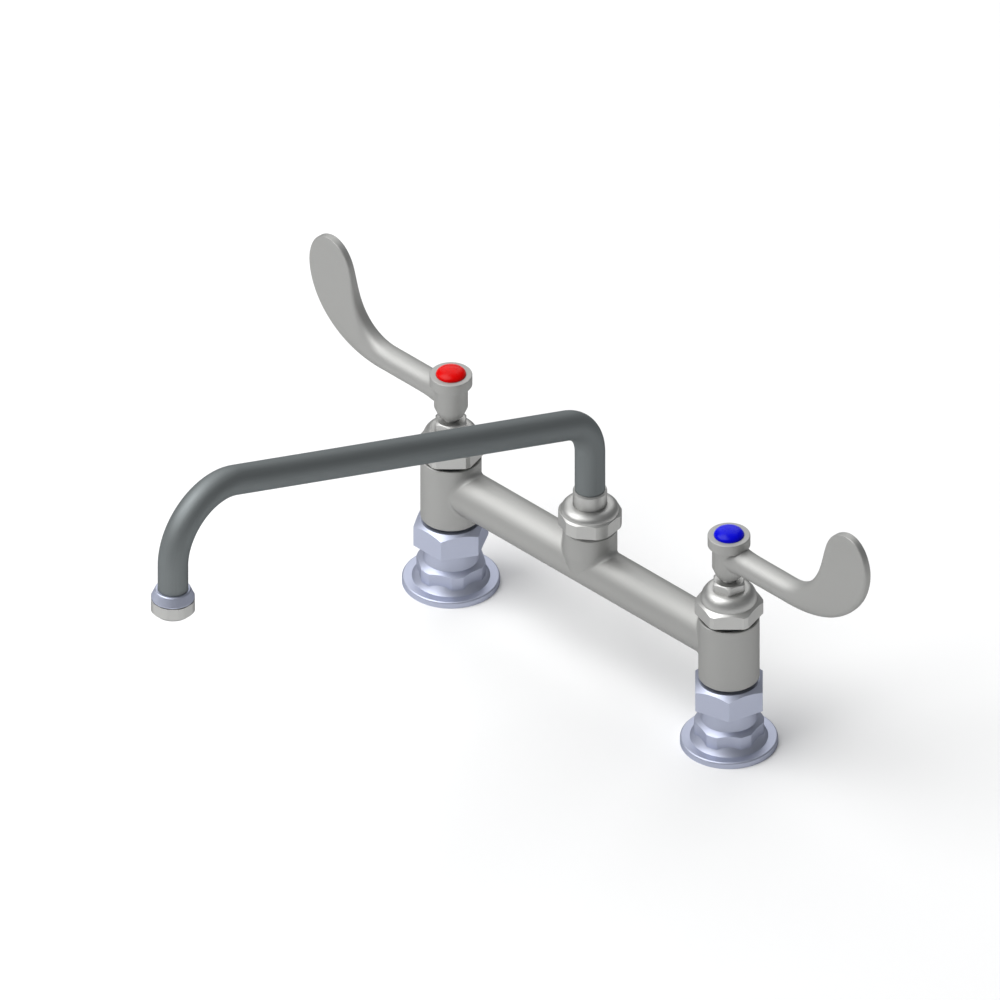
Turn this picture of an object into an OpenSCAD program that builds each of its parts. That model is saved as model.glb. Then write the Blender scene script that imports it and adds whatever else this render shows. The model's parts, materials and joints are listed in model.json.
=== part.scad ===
// Deck-mount mixing faucet: two posts joined by a bar, a swinging spout on the
// bar's centre boss, and a quarter-turn valve with a wrist handle on each post.
// Millimetres. Z is up, the deck is at zero, X runs from the hot post to the
// cold post and the spout points along minus Y.

/* [Faucet] */
// Distance between the axes of the two posts
centres = 203.2; // [180:0.1:260]
// Play between a turning or sliding piece and the piece around it
run_gap = 0.05; // [0.03:0.01:0.08]
// Play between curved faces that pass each other without touching
free_gap = 0.3; // [0.25:0.05:0.5]
// Size of the small chamfers on turned edges
edge = 0.5; // [0.3:0.1:0.8]

/* [Inlet flange] */
// Diameter of the flange on the deck
flange_d = 50.8; // [46:0.1:60]
// Thickness of the flange at its rim
flange_t = 3.6; // [3:0.1:6]
// Radius on the upper edge of the rim
flange_edge_r = 1.1; // [0.5:0.1:2]
// Diameter where the step rises from the flange
step_d = 40.6; // [39:0.1:44]
// Height of the step between the flange and its hexagon
step_h = 4.2; // [2:0.1:8]
// Across flats of the flange hexagon
flange_af = 34; // [32:0.1:36]
// Height of the flange hexagon
flange_hex_h = 8.5; // [6:0.1:14]
// Diameter of the threaded neck
neck_d = 27; // [26:0.1:28]
// Diameter of the tapped inlet for a half-inch pipe
inlet_d = 18.6; // [17:0.1:20]
// Depth of the tapped inlet
inlet_l = 14; // [10:0.5:18]
// Diameter of the water way above the tapped inlet
inlet_way_d = 16; // [12:0.5:16.8]

/* [Coupling] */
// Across flats of the coupling nut
nut_af = 34.925; // [33:0.005:38]
// Height of the coupling nut
nut_h = 14; // [12:0.1:20]
// Length of neck that shows under the nut
neck_show = 4.9; // [3:0.1:8]
// Thickness of the lip at the top of the nut
nut_lip_t = 3; // [2:0.1:4]
// Thickness of the split ring that the lip pulls down
ring_t = 1.8; // [1.2:0.1:2.4]
// Depth of the ring's groove
ring_depth = 1.1; // [0.8:0.1:1.4]
// Thickness of the sealing washer between the neck and the post
washer_t = 1.5; // [1:0.1:2]

/* [Posts] */
// Diameter of a post
post_d = 31.75; // [30:0.05:36]
// Height of a post above its shoulder
post_h = 37.5; // [36.5:0.1:50]
// Gap that shows between the nut and the post
post_gap = 1.7; // [1:0.1:3]
// Diameter of the spigot under the post
spigot_d = 24; // [23:0.1:24.6]
// Diameter of the valve chamber in the post
chamber_d = 24; // [23.4:0.1:25.4]
// Thickness of the web that holds the valve seat
web_t = 5; // [4:0.1:6]
// Height of the web above the shoulder
web_rise = 3.5; // [2:0.1:5]
// Chamfer on the edges of the post
post_chamfer = 0.8; // [0.4:0.1:1.2]

/* [Bar and boss] */
// Diameter of the bar between the posts
bar_d = 24; // [22:0.1:26]
// Diameter of the water way in the bar
bar_way_d = 15; // [12:0.5:16]
// Height of the bar's axis above the shoulders of the posts
bar_rise = 20.3; // [18:0.1:22]
// Radius of the fillets where the bar meets the posts and the boss
fillet_r = 3; // [2:0.1:4]
// Diameter of the boss under the spout
boss_d = 28.4; // [27:0.1:32]
// Height of the boss above the bar's axis
boss_rise = 23.6; // [20:0.1:30]
// Diameter of the threaded neck on the boss
boss_neck_d = 24.8; // [24.6:0.1:25.4]
// Height of the threaded neck on the boss
boss_neck_h = 7.8; // [7:0.1:9]

/* [Valve seat and plunger] */
// Diameter of the valve seat's thread
seat_d = 16; // [14:0.1:17]
// Diameter of the valve seat's flange
seat_flange_d = 20; // [19:0.1:21]
// Thickness of the valve seat's flange
seat_flange_t = 1.2; // [1:0.1:2]
// Height of the lip that the washer closes on
seat_lip_h = 1.2; // [1:0.1:1.6]
// Diameter of the hole through the valve seat
seat_way_d = 9; // [8:0.1:10]
// Diameter of the seat washer
seat_washer_d = 15.2; // [14:0.1:16]
// Thickness of the seat washer
seat_washer_t = 2.2; // [1.8:0.1:3]
// Diameter of the plunger's disc
disc_d = 17.6; // [17.2:0.1:19]
// Thickness of the plunger's disc above the washer
disc_t = 3.4; // [3:0.1:4.5]
// Across flats of the plunger's hexagon shaft
shaft_af = 10.8; // [10.4:0.1:11.4]
// Travel of the plunger in a quarter turn
lift = 3; // [2:0.1:3.4]

/* [Spindle and bonnet] */
// Diameter of the screw at the lower end of the spindle
screw_d = 7.2; // [6:0.1:7.6]
// Diameter of the spindle's journal
journal_d = 10; // [9.6:0.1:10.6]
// Diameter of the spindle above its journal
spindle_d = 8; // [7.8:0.1:8.6]
// Thickness of the collar that keeps the spindle from rising
collar_t = 3; // [2.5:0.1:4]
// Depth of the bonnet's spigot in the post
bonnet_depth = 9; // [8:0.1:10]
// Length of the guide sleeve below the bonnet's spigot
sleeve_foot = 4; // [3:0.1:4.4]
// Thickness of the gasket under the bonnet
gasket_t = 1.2; // [0.8:0.1:1.8]
// Height of the undercut between the gasket and the bonnet's hexagon
undercut_h = 1.4; // [1:0.1:2]
// Across flats of the bonnet
bonnet_af = 32; // [31:0.1:34]
// Height of the bonnet's hexagon
bonnet_hex_h = 8.6; // [7:0.1:12]
// Height of the bonnet's dome above its hexagon
dome_h = 7.3; // [6.5:0.1:10]
// Diameter at the top of the bonnet's dome
dome_top_d = 18; // [17:0.1:19]
// Across flats of the packing nut
packing_af = 16; // [15.4:0.1:17]
// Height of the packing nut's hexagon
packing_hex_h = 4.9; // [4:0.1:7]
// Height of the packing ring
packing_ring_h = 2.6; // [2:0.1:3.4]

/* [Handles] */
// Gap between the packing nut and the hub
hub_gap = 3; // [2:0.1:5]
// Diameter of the handle's hub
hub_d = 17.6; // [17:0.1:20]
// Diameter at the bottom of the hub's taper
hub_foot_d = 13.4; // [12:0.1:14]
// Height of the hub below its head
hub_h = 18.6; // [18:0.1:22]
// Diameter of the head on top of the hub
head_d = 22.2; // [21:0.1:25]
// Height of the head on top of the hub
head_h = 6.5; // [6:0.1:8]
// Diameter of the coloured index button
button_d = 15.8; // [14:0.1:17]
// Height of the button's dome above the head
button_dome_h = 3.6; // [2:0.1:4.5]
// Height of the handle arm's axis above the bottom of the hub
arm_rise = 12.7; // [12.4:0.1:13]
// Depth of the arm where it leaves the hub
arm_depth = 13; // [12:0.1:14]
// Width of the arm where it leaves the hub
arm_width = 14.4; // [12:0.1:14.6]
// Length of the handle along its centre line
handle_l = 124.4; // [110:0.1:150]
// Width of the blade
blade_w = 31.3; // [28:0.1:36]
// Thickness of the blade
blade_t = 4.2; // [3:0.1:5]
// Angle between the arm and the blade
blade_turn = 88; // [75:1:92]
// Angle by which the blade's tip turns further
tip_turn = 8.5; // [0:0.5:12]

/* [Spout] */
// Reach of the spout from its axis to the outlet
spout_reach = 304.8; // [200:0.1:360]
// Outer diameter of the spout tube
tube_d = 15.875; // [14.5:0.005:16]
// Wall of the spout tube
tube_wall = 1.25; // [1:0.05:1.6]
// How far a bend draws the tube's surface in
draw_in = 0.1; // [0.09:0.01:0.14]
// Rise of the spout's run above level, in degrees
spout_slope = 19.7; // [15:0.1:25]
// Height of the riser from the boss to where its axis meets the run's axis
riser_h = 65.8; // [60:0.1:120]
// Radius of the bend above the riser
near_bend_r = 27; // [22:0.5:40]
// Radius of the bend above the outlet
far_bend_r = 33.5; // [30:0.5:50]
// Straight length of tube below the far bend
leg_l = 18.3; // [8:0.1:40]
// Diameter of the spout's ferrule
ferrule_d = 17.8; // [17.6:0.1:18.4]
// Length of the ferrule above the swivel nut
ferrule_show = 9; // [7:0.1:14]
// Across flats of the swivel nut
swivel_af = 31.4; // [30.4:0.1:34]
// Height of the swivel nut's hexagon
swivel_hex_h = 8.3; // [7.8:0.1:12]
// Height of the swivel nut's dome
swivel_dome_h = 4.2; // [4:0.1:6]
// Gap that shows between the boss and the swivel nut
swivel_gap = 2.1; // [1:0.1:2.4]
// Thickness of the washer under the snap ring
swivel_washer_t = 1; // [0.8:0.1:1.2]
// Thickness of the snap ring that holds the spout
snap_t = 1.2; // [1:0.1:1.4]

/* [Aerator] */
// Diameter of the aerator
aerator_d = 23.5; // [23:0.1:26]
// Height of the adapter's cone
band_h = 5.4; // [5:0.1:9]
// Depth of the tube's socket in the adapter
outlet_socket = 3.8; // [3:0.1:5]
// Height of the aerator's housing
housing_h = 8.7; // [7.4:0.1:10]
// Diameter of the adapter's thread
outlet_thread_d = 20.6; // [20:0.1:20.8]
// Thickness of the aerator's gasket
aerator_gasket_t = 1.2; // [1:0.1:1.6]
// Thickness of the perforated insert
insert_t = 1.6; // [1.2:0.1:2]
// Thickness of the screen
screen_t = 0.8; // [0.6:0.1:1]

/* [Hidden] */

// Sides of the faucet, as the sign of X
HOT = -1;
COLD = 1;

// Colours of the finishes, as the object shows them
SATIN = "#C4C4C2";
BRIGHT = "#B9BFD2";
TUBE = "#70787A";
BRASS = "#B89A54";
RUBBER = "#26282A";
FIBRE = "#8A3B2E";
NYLON = "#E8E6DC";
RED = "#D40E0E";
BLUE = "#1414C8";

// Overrun of a cut past the face that it opens
over = 1;
// Round faces are cut into this many steps, and bent ones into fewer
$fn = 96;
arc_steps = 12;
// Straight tube reaches this far into its bends, where it stands proud of them
lap = 0.3;

// Turn of each hexagon about its axis, in degrees, as it was tightened
flange_turns = [26.4, 45];
nut_turns = [0, 15];
bonnet_turn = 45;
packing_turn = 15;
swivel_turn = 37.8;
// Corners of a hexagon are turned down to this share of the flats' radius
flange_corner_share = 1.065;
nut_corner_share = 1.148;
bonnet_corner_share = 1.11;
packing_corner_share = 1.12;
swivel_corner_share = 1.05;
// Slope of the chamfers on top of the nuts, as rise over run
chamfer_slope_share = 0.58;
// Foot of a dome, as a share of the flats' radius of the hexagon below it
bonnet_foot_share = 0.92;
swivel_foot_share = 0.97;

// Inlet flange, from the deck up
neck_r = neck_d / 2;
flange_hex_r = flange_af / 2 * flange_corner_share;
z_step = flange_t + step_h;
z_flange_hex = z_step + flange_hex_h;
z_neck = z_flange_hex + flange_hex_r - neck_r;

// Coupling, from the nut's bottom up
z_nut = z_neck + neck_show;
z_nut_top = z_nut + nut_h;
z_nut_lip = z_nut_top - nut_lip_t;
z_ring = z_nut_lip - ring_t;
// The spigot reaches below its ring by the ring's own thickness
z_spigot = z_ring - ring_t;
z_neck_top = z_spigot - washer_t;
nut_corner_r = nut_af / 2 * nut_corner_share;
spigot_r = spigot_d / 2;
ring_out_r = neck_r - run_gap;

// Post, web and bar
post_r = post_d / 2;
z_post = z_nut_top + post_gap;
z_post_top = z_post + post_h;
z_web = z_post + web_rise;
z_web_top = z_web + web_t;
chamber_r = chamber_d / 2;
post_way_r = inlet_way_d / 2 + run_gap;
bar_r = bar_d / 2;
z_bar = z_post + bar_rise;

// Boss and its neck
boss_r = boss_d / 2;
boss_neck_r = boss_neck_d / 2;
z_boss_top = z_bar + boss_rise;
z_boss_neck = z_boss_top + boss_neck_h;
// The boss tapers into the bar from above the bar's axis to below it
boss_taper_share = 0.39;
boss_foot_share = 0.08;

// Valve seat, washer and plunger, from the web up
z_seat_flange = z_web_top + seat_flange_t;
z_seat_face = z_seat_flange + seat_lip_h;
seat_lip_r = seat_way_d / 2 + seat_lip_h;
z_washer = z_seat_face + 2 * run_gap;
z_washer_top = z_washer + seat_washer_t;
// The disc's rim hides about half of the washer
washer_cover_share = 0.55;
z_disc = z_washer_top - washer_cover_share * seat_washer_t;
z_disc_top = z_washer_top + disc_t;
washer_screw_head_d = 6.4;
washer_screw_head_t = 1.3;
washer_screw_d = 3.8;
// The washer's screw reaches through the disc and on into the shaft
screw_bite = 0.7;
z_washer_screw_top = z_washer_top + disc_t + screw_bite;
z_screw_way = z_washer_screw_top + disc_t / 2;
screw_r = screw_d / 2;
z_spindle = z_screw_way + lift + free_gap;

// Guide sleeve and bonnet, from the post's top
z_bonnet = z_post_top - bonnet_depth;
z_sleeve = z_bonnet - sleeve_foot;
z_gasket_top = z_post_top + gasket_t;
z_bonnet_hex = z_gasket_top + undercut_h;
z_dome = z_bonnet_hex + bonnet_hex_h;
z_dome_top = z_dome + dome_h;
bonnet_corner_r = bonnet_af / 2 * bonnet_corner_share;
sleeve_wall = 2.8;
sleeve_clear = 1.2;
shaft_corner_r = shaft_af / 2 / cos(30);
sleeve_r = shaft_corner_r + run_gap + sleeve_wall;
sleeve_foot_r = chamber_r - sleeve_clear;
// The sleeve's top is level with the post's gasket, under the spindle's collar
z_collar = z_gasket_top - run_gap;
z_collar_top = z_collar + collar_t;
z_plunger_top = z_collar - lift - 2 * free_gap;
journal_r = journal_d / 2;
spindle_r = spindle_d / 2;
oring_d = 1.4;
// The gasket and the undercut stand back from the post's wall
gasket_inset = 1.8;
gasket_r = post_r - gasket_inset;
// Depth of the packing's chamber below the top of the dome
packing_depth = 9.3;
z_packing = z_dome_top - packing_depth;
z_packing_top = z_packing + packing_ring_h;
packing_wall = 2.4;
packing_thread_r = spindle_r + packing_wall;
z_packing_nut_top = z_dome_top + packing_hex_h;

// Hub, head, button and screw, from the hub's foot up
z_hub = z_packing_nut_top + hub_gap;
z_head = z_hub + hub_h;
z_head_top = z_head + head_h;
// Rise over run of the taper at the hub's foot
hub_taper_share = 2.5;
button_r = button_d / 2;
button_seat_h = head_h / 2;
z_button = z_head_top - button_seat_h;
screw_head_d = 7.2;
screw_head_t = 2.4;
handle_screw_d = 3.1;
hub_web_t = 2.3;
z_well = z_head - edge;
z_drive_top = z_well - hub_web_t;
drive_af = 5.6;
drive_h = 5.2;
z_drive = z_drive_top - drive_h;
z_arm = z_hub + arm_rise;

// Swivel: snap ring, washer, nut and ferrule
z_swivel_nut = z_boss_top + swivel_gap;
z_swivel_hex = z_swivel_nut + swivel_hex_h;
z_swivel_top = z_swivel_hex + swivel_dome_h;
swivel_corner_r = swivel_af / 2 * swivel_corner_share;
z_snap = z_boss_neck + swivel_washer_t + run_gap;
z_snap_top = z_snap + snap_t;
z_ceiling = z_snap_top + run_gap;
ferrule_r = ferrule_d / 2;
ferrule_bore_r = ferrule_r + run_gap;
z_ferrule_top = z_swivel_top + ferrule_show;
// The ferrule's foot stands clear of the bar's water way
z_ferrule = z_bar + bar_way_d / 2 - free_gap;
swivel_oring_d = 1.8;
ferrule_wall = 1;
snap_depth = 1.2;
tube_r = tube_d / 2;
tube_way_r = tube_r - tube_wall;
tube_socket_r = tube_r + run_gap;
z_tube = z_ceiling + 3 * snap_t;

// Spout's centre line in its own plane: out from the axis, and up
near_turn = 90 - spout_slope;
far_turn = 90 + spout_slope;
near_tangent = near_bend_r * tan(near_turn / 2);
far_tangent = far_bend_r * tan(far_turn / 2);
near_apex = [0, z_boss_top + riser_h];
far_apex = [spout_reach, near_apex.y + spout_reach * tan(spout_slope)];
run_l = spout_reach / cos(spout_slope) - near_tangent - far_tangent;
run_dir = [cos(spout_slope), sin(spout_slope)];
run_start = near_apex + near_tangent * run_dir;
z_riser_top = near_apex.y - near_tangent;
z_leg_top = far_apex.y - far_tangent;
z_leg = z_leg_top - leg_l;

// Aerator, from the tube's end down
aerator_r = aerator_d / 2;
z_band_top = z_leg + outlet_socket;
z_band = z_band_top - band_h;
outlet_r = outlet_thread_d / 2;
z_housing_top = z_band - free_gap;
z_housing = z_housing_top - housing_h;
housing_lip_t = 1.5;
// The eight flats cut this share of the housing's radius
housing_flat_share = 0.97;
z_screen = z_housing + housing_lip_t;
z_insert = z_screen + screen_t;
z_aerator_gasket = z_insert + insert_t;
z_outlet_thread = z_aerator_gasket + aerator_gasket_t;

// Moves its children to the axis of one post
module at_post(side) {
    translate([side * centres / 2, 0, 0]) children();
}

// Moves its children to the axis of the outlet
module at_outlet() {
    translate([0, -spout_reach, 0]) children();
}

// A round solid from its half section, as points of radius and height
module turned(points) {
    rotate_extrude() polygon(points);
}

// A tube with a plain bore
module sleeve_ring(out_r, in_r, z0, z1) {
    turned([[in_r, z0], [out_r, z0], [out_r, z1], [in_r, z1]]);
}

// A round bar between two heights
module rod(r, z0, z1) {
    translate([0, 0, z0]) cylinder(r = r, h = z1 - z0);
}

// A hexagonal bar between two heights
module hex_bar(af, z0, z1, turn = 0) {
    translate([0, 0, z0]) rotate([0, 0, turn])
        cylinder(r = af / 2 / cos(30), h = z1 - z0, $fn = 6);
}

// A hexagon turned down at its corners, with a chamfer on top that falls from
// top_r, so each flat ends in a curve
module turned_hex(af, corner_r, top_r, z0, z1, turn) {
    fall = (corner_r - top_r) * chamfer_slope_share;
    intersection() {
        hex_bar(af, z0, z1, turn);
        turned([[0, z0], [corner_r, z0], [corner_r, z1 - fall], [top_r, z1], [0, z1]]);
    }
}

// An O-ring from its outer radius
module oring(out_r, cord_d, z) {
    translate([0, 0, z]) rotate_extrude() translate([out_r - cord_d / 2, 0])
        circle(d = cord_d, $fn = 32);
}

// A ring with a slot across one side, so that it can spring
module split_ring(out_r, in_r, z0, z1, slot) {
    difference() {
        sleeve_ring(out_r, in_r, z0, z1);
        translate([0, -slot / 2, z0 - over]) cube([out_r + over, slot, z1 - z0 + 2 * over]);
    }
}

// Points of a quarter arc about a centre, between two angles
function arc(centre, r, from, to, steps = arc_steps) =
    [for (i = [0 : steps]) let (a = from + (to - from) * i / steps) centre + r * [cos(a), sin(a)]];

// Radius of the boss at a height above the bar's axis
function boss_r_at(z) =
    let (rise = (z / boss_rise + boss_foot_share) / (boss_taper_share + boss_foot_share))
    bar_r + (boss_r - bar_r) * min(max(rise, 0), 1);

// A fillet's arc runs this far under the surfaces that it joins, and crosses
// them within its first and last steps, in degrees or as a share of the arc
fillet_sink = run_gap;
fillet_step = 18;
fillet_step_share = 0.45;
// Beside the boss the fillet dies away towards the bar's sides, and starts at
// this angle above them
boss_fillet_from = 30;

// A ball rolls between the bar and an upright round, sunk a little in both.
// Around a post it keeps its radius, and beside the boss it shrinks.
function ball_r(on_boss, a) = fillet_r * (on_boss ? sin(a) : 1);
function upright_r(on_boss, a) = on_boss ? boss_r_at((bar_r + ball_r(on_boss, a)) * sin(a)) : post_r;

// The ball's centre at angle a around the bar
function ball_centre(r_up, r, a) =
    let (reach = r - fillet_sink, y = (bar_r + reach) * cos(a))
    [sqrt(pow(r_up + reach, 2) - y * y), y, (bar_r + reach) * sin(a)];

// Angles of the points on an arc that opens that far
function ball_arc(open) =
    let (first = min(fillet_step, fillet_step_share * open))
    [0, first, open / 2, open - first, open];

// The ring of points at angle a: the ball's arc from the bar to the upright,
// closed by a point deeper under both surfaces
function fillet_ring(on_boss, a) =
    let (r = ball_r(on_boss, a), r_up = upright_r(on_boss, a))
    let (c = ball_centre(r_up, r, a))
    let (to_bar = [0, -cos(a), -sin(a)])
    let (to_up = [-c.x, -c.y, 0] / (r_up + r - fillet_sink))
    let (open = acos(to_bar * to_up))
    let (deep_up = r_up - 4 * fillet_sink, deep_bar = bar_r - 4 * fillet_sink)
    concat(
        [for (t = ball_arc(open)) c + r * (sin(open - t) * to_bar + sin(t) * to_up) / sin(open)],
        [[sqrt(pow(deep_up, 2) - pow(deep_bar * cos(a), 2)), deep_bar * cos(a), deep_bar * sin(a)]]);

// The fillet between the bar, which leaves along plus X, and a post or the boss
module bar_fillet(on_boss) {
    rings = on_boss ? 13 : 32;
    open_angle = 180 - 2 * boss_fillet_from;
    angles = [for (j = [0 : rings - 1])
        on_boss ? boss_fillet_from + open_angle * j / (rings - 1) : 360 * (j + 0.5) / rings];
    points = [for (a = angles) each fillet_ring(on_boss, a)];
    wide = len(points) / rings;
    last = (rings - 1) * wide;
    sides = [for (j = [0 : rings - (on_boss ? 2 : 1)]) for (i = [0 : wide - 1])
        let (jn = (j + 1) % rings, k = (i + 1) % wide)
        each [[j * wide + i, jn * wide + i, jn * wide + k], [j * wide + i, jn * wide + k, j * wide + k]]];
    ends = [for (i = [1 : wide - 2]) each [[0, i, i + 1], [last, last + i + 1, last + i]]];
    polyhedron(points, on_boss ? concat(sides, ends) : sides);
}

// The casting: two posts with their spigots and webs, the bar and the boss
module faucet_body() {
    color(SATIN) difference() {
        union() {
            for (side = [HOT, COLD]) at_post(side) post_outside();
            translate([-centres / 2, 0, z_bar]) rotate([0, 90, 0]) cylinder(r = bar_r, h = centres);
            boss_outside();
            for (side = [HOT, COLD]) {
                translate([side * centres / 2, 0, z_bar]) mirror([side + 1, 0, 0]) bar_fillet(false);
                translate([0, 0, z_bar]) mirror([side + 1, 0, 0]) bar_fillet(true);
            }
        }
        for (side = [HOT, COLD]) at_post(side) post_inside();
        translate([-centres / 2, 0, z_bar]) rotate([0, 90, 0]) cylinder(r = bar_way_d / 2, h = centres);
        boss_inside();
    }
}

module post_outside() {
    turned([[0, z_spigot], [spigot_r, z_spigot], [spigot_r, z_ring],
        [spigot_r - ring_depth, z_ring], [spigot_r - ring_depth, z_nut_lip],
        [spigot_r, z_nut_lip], [spigot_r, z_post], [post_r - post_chamfer, z_post],
        [post_r, z_post + post_chamfer], [post_r, z_post_top - post_chamfer / 2],
        [post_r - post_chamfer / 2, z_post_top], [0, z_post_top]]);
}

module post_inside() {
    rod(post_way_r, z_spigot - over, z_web);
    rod(seat_d / 2, z_web - over, z_web_top + over);
    rod(chamber_r, z_web_top, z_post_top + over);
}

module boss_outside() {
    z_taper = z_bar + boss_taper_share * boss_rise;
    z_foot = z_bar - boss_foot_share * boss_rise;
    turned([[0, z_foot], [bar_r, z_foot], [boss_r, z_taper],
        [boss_r, z_boss_top - post_chamfer], [boss_r - post_chamfer, z_boss_top],
        [boss_neck_r, z_boss_top], [boss_neck_r, z_boss_neck], [0, z_boss_neck]]);
}

module boss_inside() {
    rod(bar_way_d / 2 - free_gap, z_bar, z_ferrule);
    rod(ferrule_bore_r, z_ferrule - free_gap, z_boss_neck + over);
}

// The flange under a post: rim, step, hexagon, cone and threaded neck
module inlet_flange(side) {
    turn = flange_turns[side < 0 ? 0 : 1];
    hex_foot = flange_af / 2;
    color(BRIGHT) at_post(side) difference() {
        union() {
            turned(concat([[0, 0], [flange_d / 2, 0]],
                arc([flange_d / 2 - flange_edge_r, flange_t - flange_edge_r], flange_edge_r, 0, 90),
                [[step_d / 2, flange_t], [step_d / 2 - step_h / 3, flange_t + step_h / 3],
                [hex_foot, z_step], [0, z_step]]));
            turned_hex(flange_af, flange_hex_r, neck_r, z_step - step_h / 2, z_flange_hex, turn);
            turned([[0, z_step], [hex_foot - edge, z_step], [neck_r, z_neck],
                [neck_r, z_neck_top], [0, z_neck_top]]);
        }
        rod(inlet_d / 2, -over, inlet_l);
        rod(inlet_way_d / 2, inlet_l - over, z_neck_top + over);
    }
}

// The nut that pulls the post down on the flange, through the split ring
module coupling_nut(side) {
    turn = nut_turns[side < 0 ? 0 : 1];
    lip_r = spigot_r + 2 * run_gap;
    color(BRIGHT) at_post(side) difference() {
        turned_hex(nut_af, nut_corner_r, post_r + run_gap, z_nut, z_nut_top, turn);
        rod(neck_r + run_gap, z_nut - over, z_nut_lip);
        rod(lip_r, z_nut_lip - over, z_nut_top + over);
    }
}

module coupling_ring(side) {
    color(BRASS) at_post(side)
        split_ring(ring_out_r, spigot_r - ring_depth + run_gap, z_ring, z_nut_lip, ring_t);
}

module coupling_washer(side) {
    color(FIBRE) at_post(side)
        sleeve_ring(spigot_r, post_way_r, z_neck_top, z_spigot);
}

// The seat screws into the post's web, and its lip meets the washer
module valve_seat(side) {
    thread_r = seat_d / 2 - run_gap;
    way_r = seat_way_d / 2;
    color(BRASS) at_post(side)
        turned([[way_r, z_web], [thread_r, z_web], [thread_r, z_web_top],
            [seat_flange_d / 2, z_web_top], [seat_flange_d / 2, z_seat_flange],
            [seat_lip_r + seat_lip_h / 2, z_seat_flange], [seat_lip_r, z_seat_face],
            [way_r, z_seat_face]]);
}

module seat_washer(side) {
    color(RUBBER) at_post(side)
        sleeve_ring(seat_washer_d / 2, washer_screw_d / 2 + run_gap, z_washer, z_washer_top);
}

module washer_screw(side) {
    head_r = washer_screw_head_d / 2;
    color(BRASS) at_post(side) difference() {
        turned([[0, z_washer - washer_screw_head_t], [head_r, z_washer - washer_screw_head_t],
            [head_r, z_washer], [washer_screw_d / 2, z_washer],
            [washer_screw_d / 2, z_washer_screw_top], [0, z_washer_screw_top]]);
        driver_slot(head_r, washer_screw_head_t / 2, z_washer - washer_screw_head_t);
    }
}

// A screwdriver slot of the given depth that opens at height z, downwards
module driver_slot(head_r, depth, z) {
    wide = head_r / 4;
    translate([-head_r - over, -wide / 2, z - over])
        cube([2 * (head_r + over), wide, depth + over]);
}

// The plunger rises and falls without turning, on the spindle's screw
module plunger(side) {
    disc_r = disc_d / 2;
    color(BRASS) at_post(side) difference() {
        union() {
            turned([[0, z_disc], [disc_r, z_disc], [disc_r, z_disc_top - disc_t / 4],
                [disc_r - disc_t / 4, z_disc_top], [0, z_disc_top]]);
            hex_bar(shaft_af, z_disc_top - disc_t / 2, z_plunger_top);
        }
        rod(seat_washer_d / 2 + run_gap, z_disc - over, z_washer_top);
        rod(washer_screw_d / 2 + run_gap, z_washer_top - over, z_washer_screw_top + run_gap);
        rod(screw_r + run_gap, z_screw_way, z_plunger_top + over);
    }
}

// The sleeve screws into the bonnet, guides the plunger by its hexagon and
// holds up the spindle's collar
module guide_sleeve(side) {
    color(BRASS) at_post(side) difference() {
        turned([[0, z_sleeve], [sleeve_foot_r, z_sleeve], [sleeve_foot_r, z_bonnet],
            [sleeve_r, z_bonnet], [sleeve_r, z_collar - run_gap], [0, z_collar - run_gap]]);
        hex_bar(shaft_af + 2 * run_gap, z_sleeve - over, z_collar + over);
    }
}

// The spindle turns with the handle and is kept from rising by its collar
module spindle(side) {
    collar_r = sleeve_r - free_gap;
    groove_r = journal_r - oring_d - run_gap;
    z_groove = (z_collar_top + z_packing) / 2;
    half_groove = oring_d / 2 + 2 * run_gap;
    color(BRIGHT) at_post(side) difference() {
        union() {
            turned([[0, z_spindle], [screw_r - run_gap, z_spindle],
                [screw_r, z_spindle + run_gap], [screw_r, z_collar],
                [collar_r, z_collar], [collar_r, z_collar_top], [journal_r, z_collar_top],
                [journal_r, z_groove - half_groove], [groove_r, z_groove - half_groove],
                [groove_r, z_groove + half_groove], [journal_r, z_groove + half_groove],
                [journal_r, z_packing - run_gap], [spindle_r, z_packing - run_gap],
                [spindle_r, z_drive], [0, z_drive]]);
            translate([0, 0, z_drive - over]) rotate([0, 0, 45])
                cylinder(d = drive_af / cos(45), h = z_drive_top - run_gap - z_drive + over, $fn = 4);
        }
        rod(handle_screw_d / 2 + run_gap, z_drive, z_drive_top + over);
    }
}

module spindle_oring(side) {
    color(RUBBER) at_post(side) oring(journal_r, oring_d, (z_collar_top + z_packing) / 2);
}

module packing_ring(side) {
    color(NYLON) at_post(side)
        sleeve_ring(packing_thread_r, spindle_r + run_gap, z_packing, z_packing_top);
}

module packing_nut(side) {
    color(SATIN) at_post(side) difference() {
        union() {
            rod(packing_thread_r, z_packing_top, z_dome_top + over);
            turned_hex(packing_af, packing_af / 2 * packing_corner_share, packing_af / 2 - edge,
                z_dome_top, z_packing_nut_top, packing_turn);
        }
        rod(spindle_r + run_gap, z_packing_top - over, z_packing_nut_top + over);
    }
}

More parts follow.
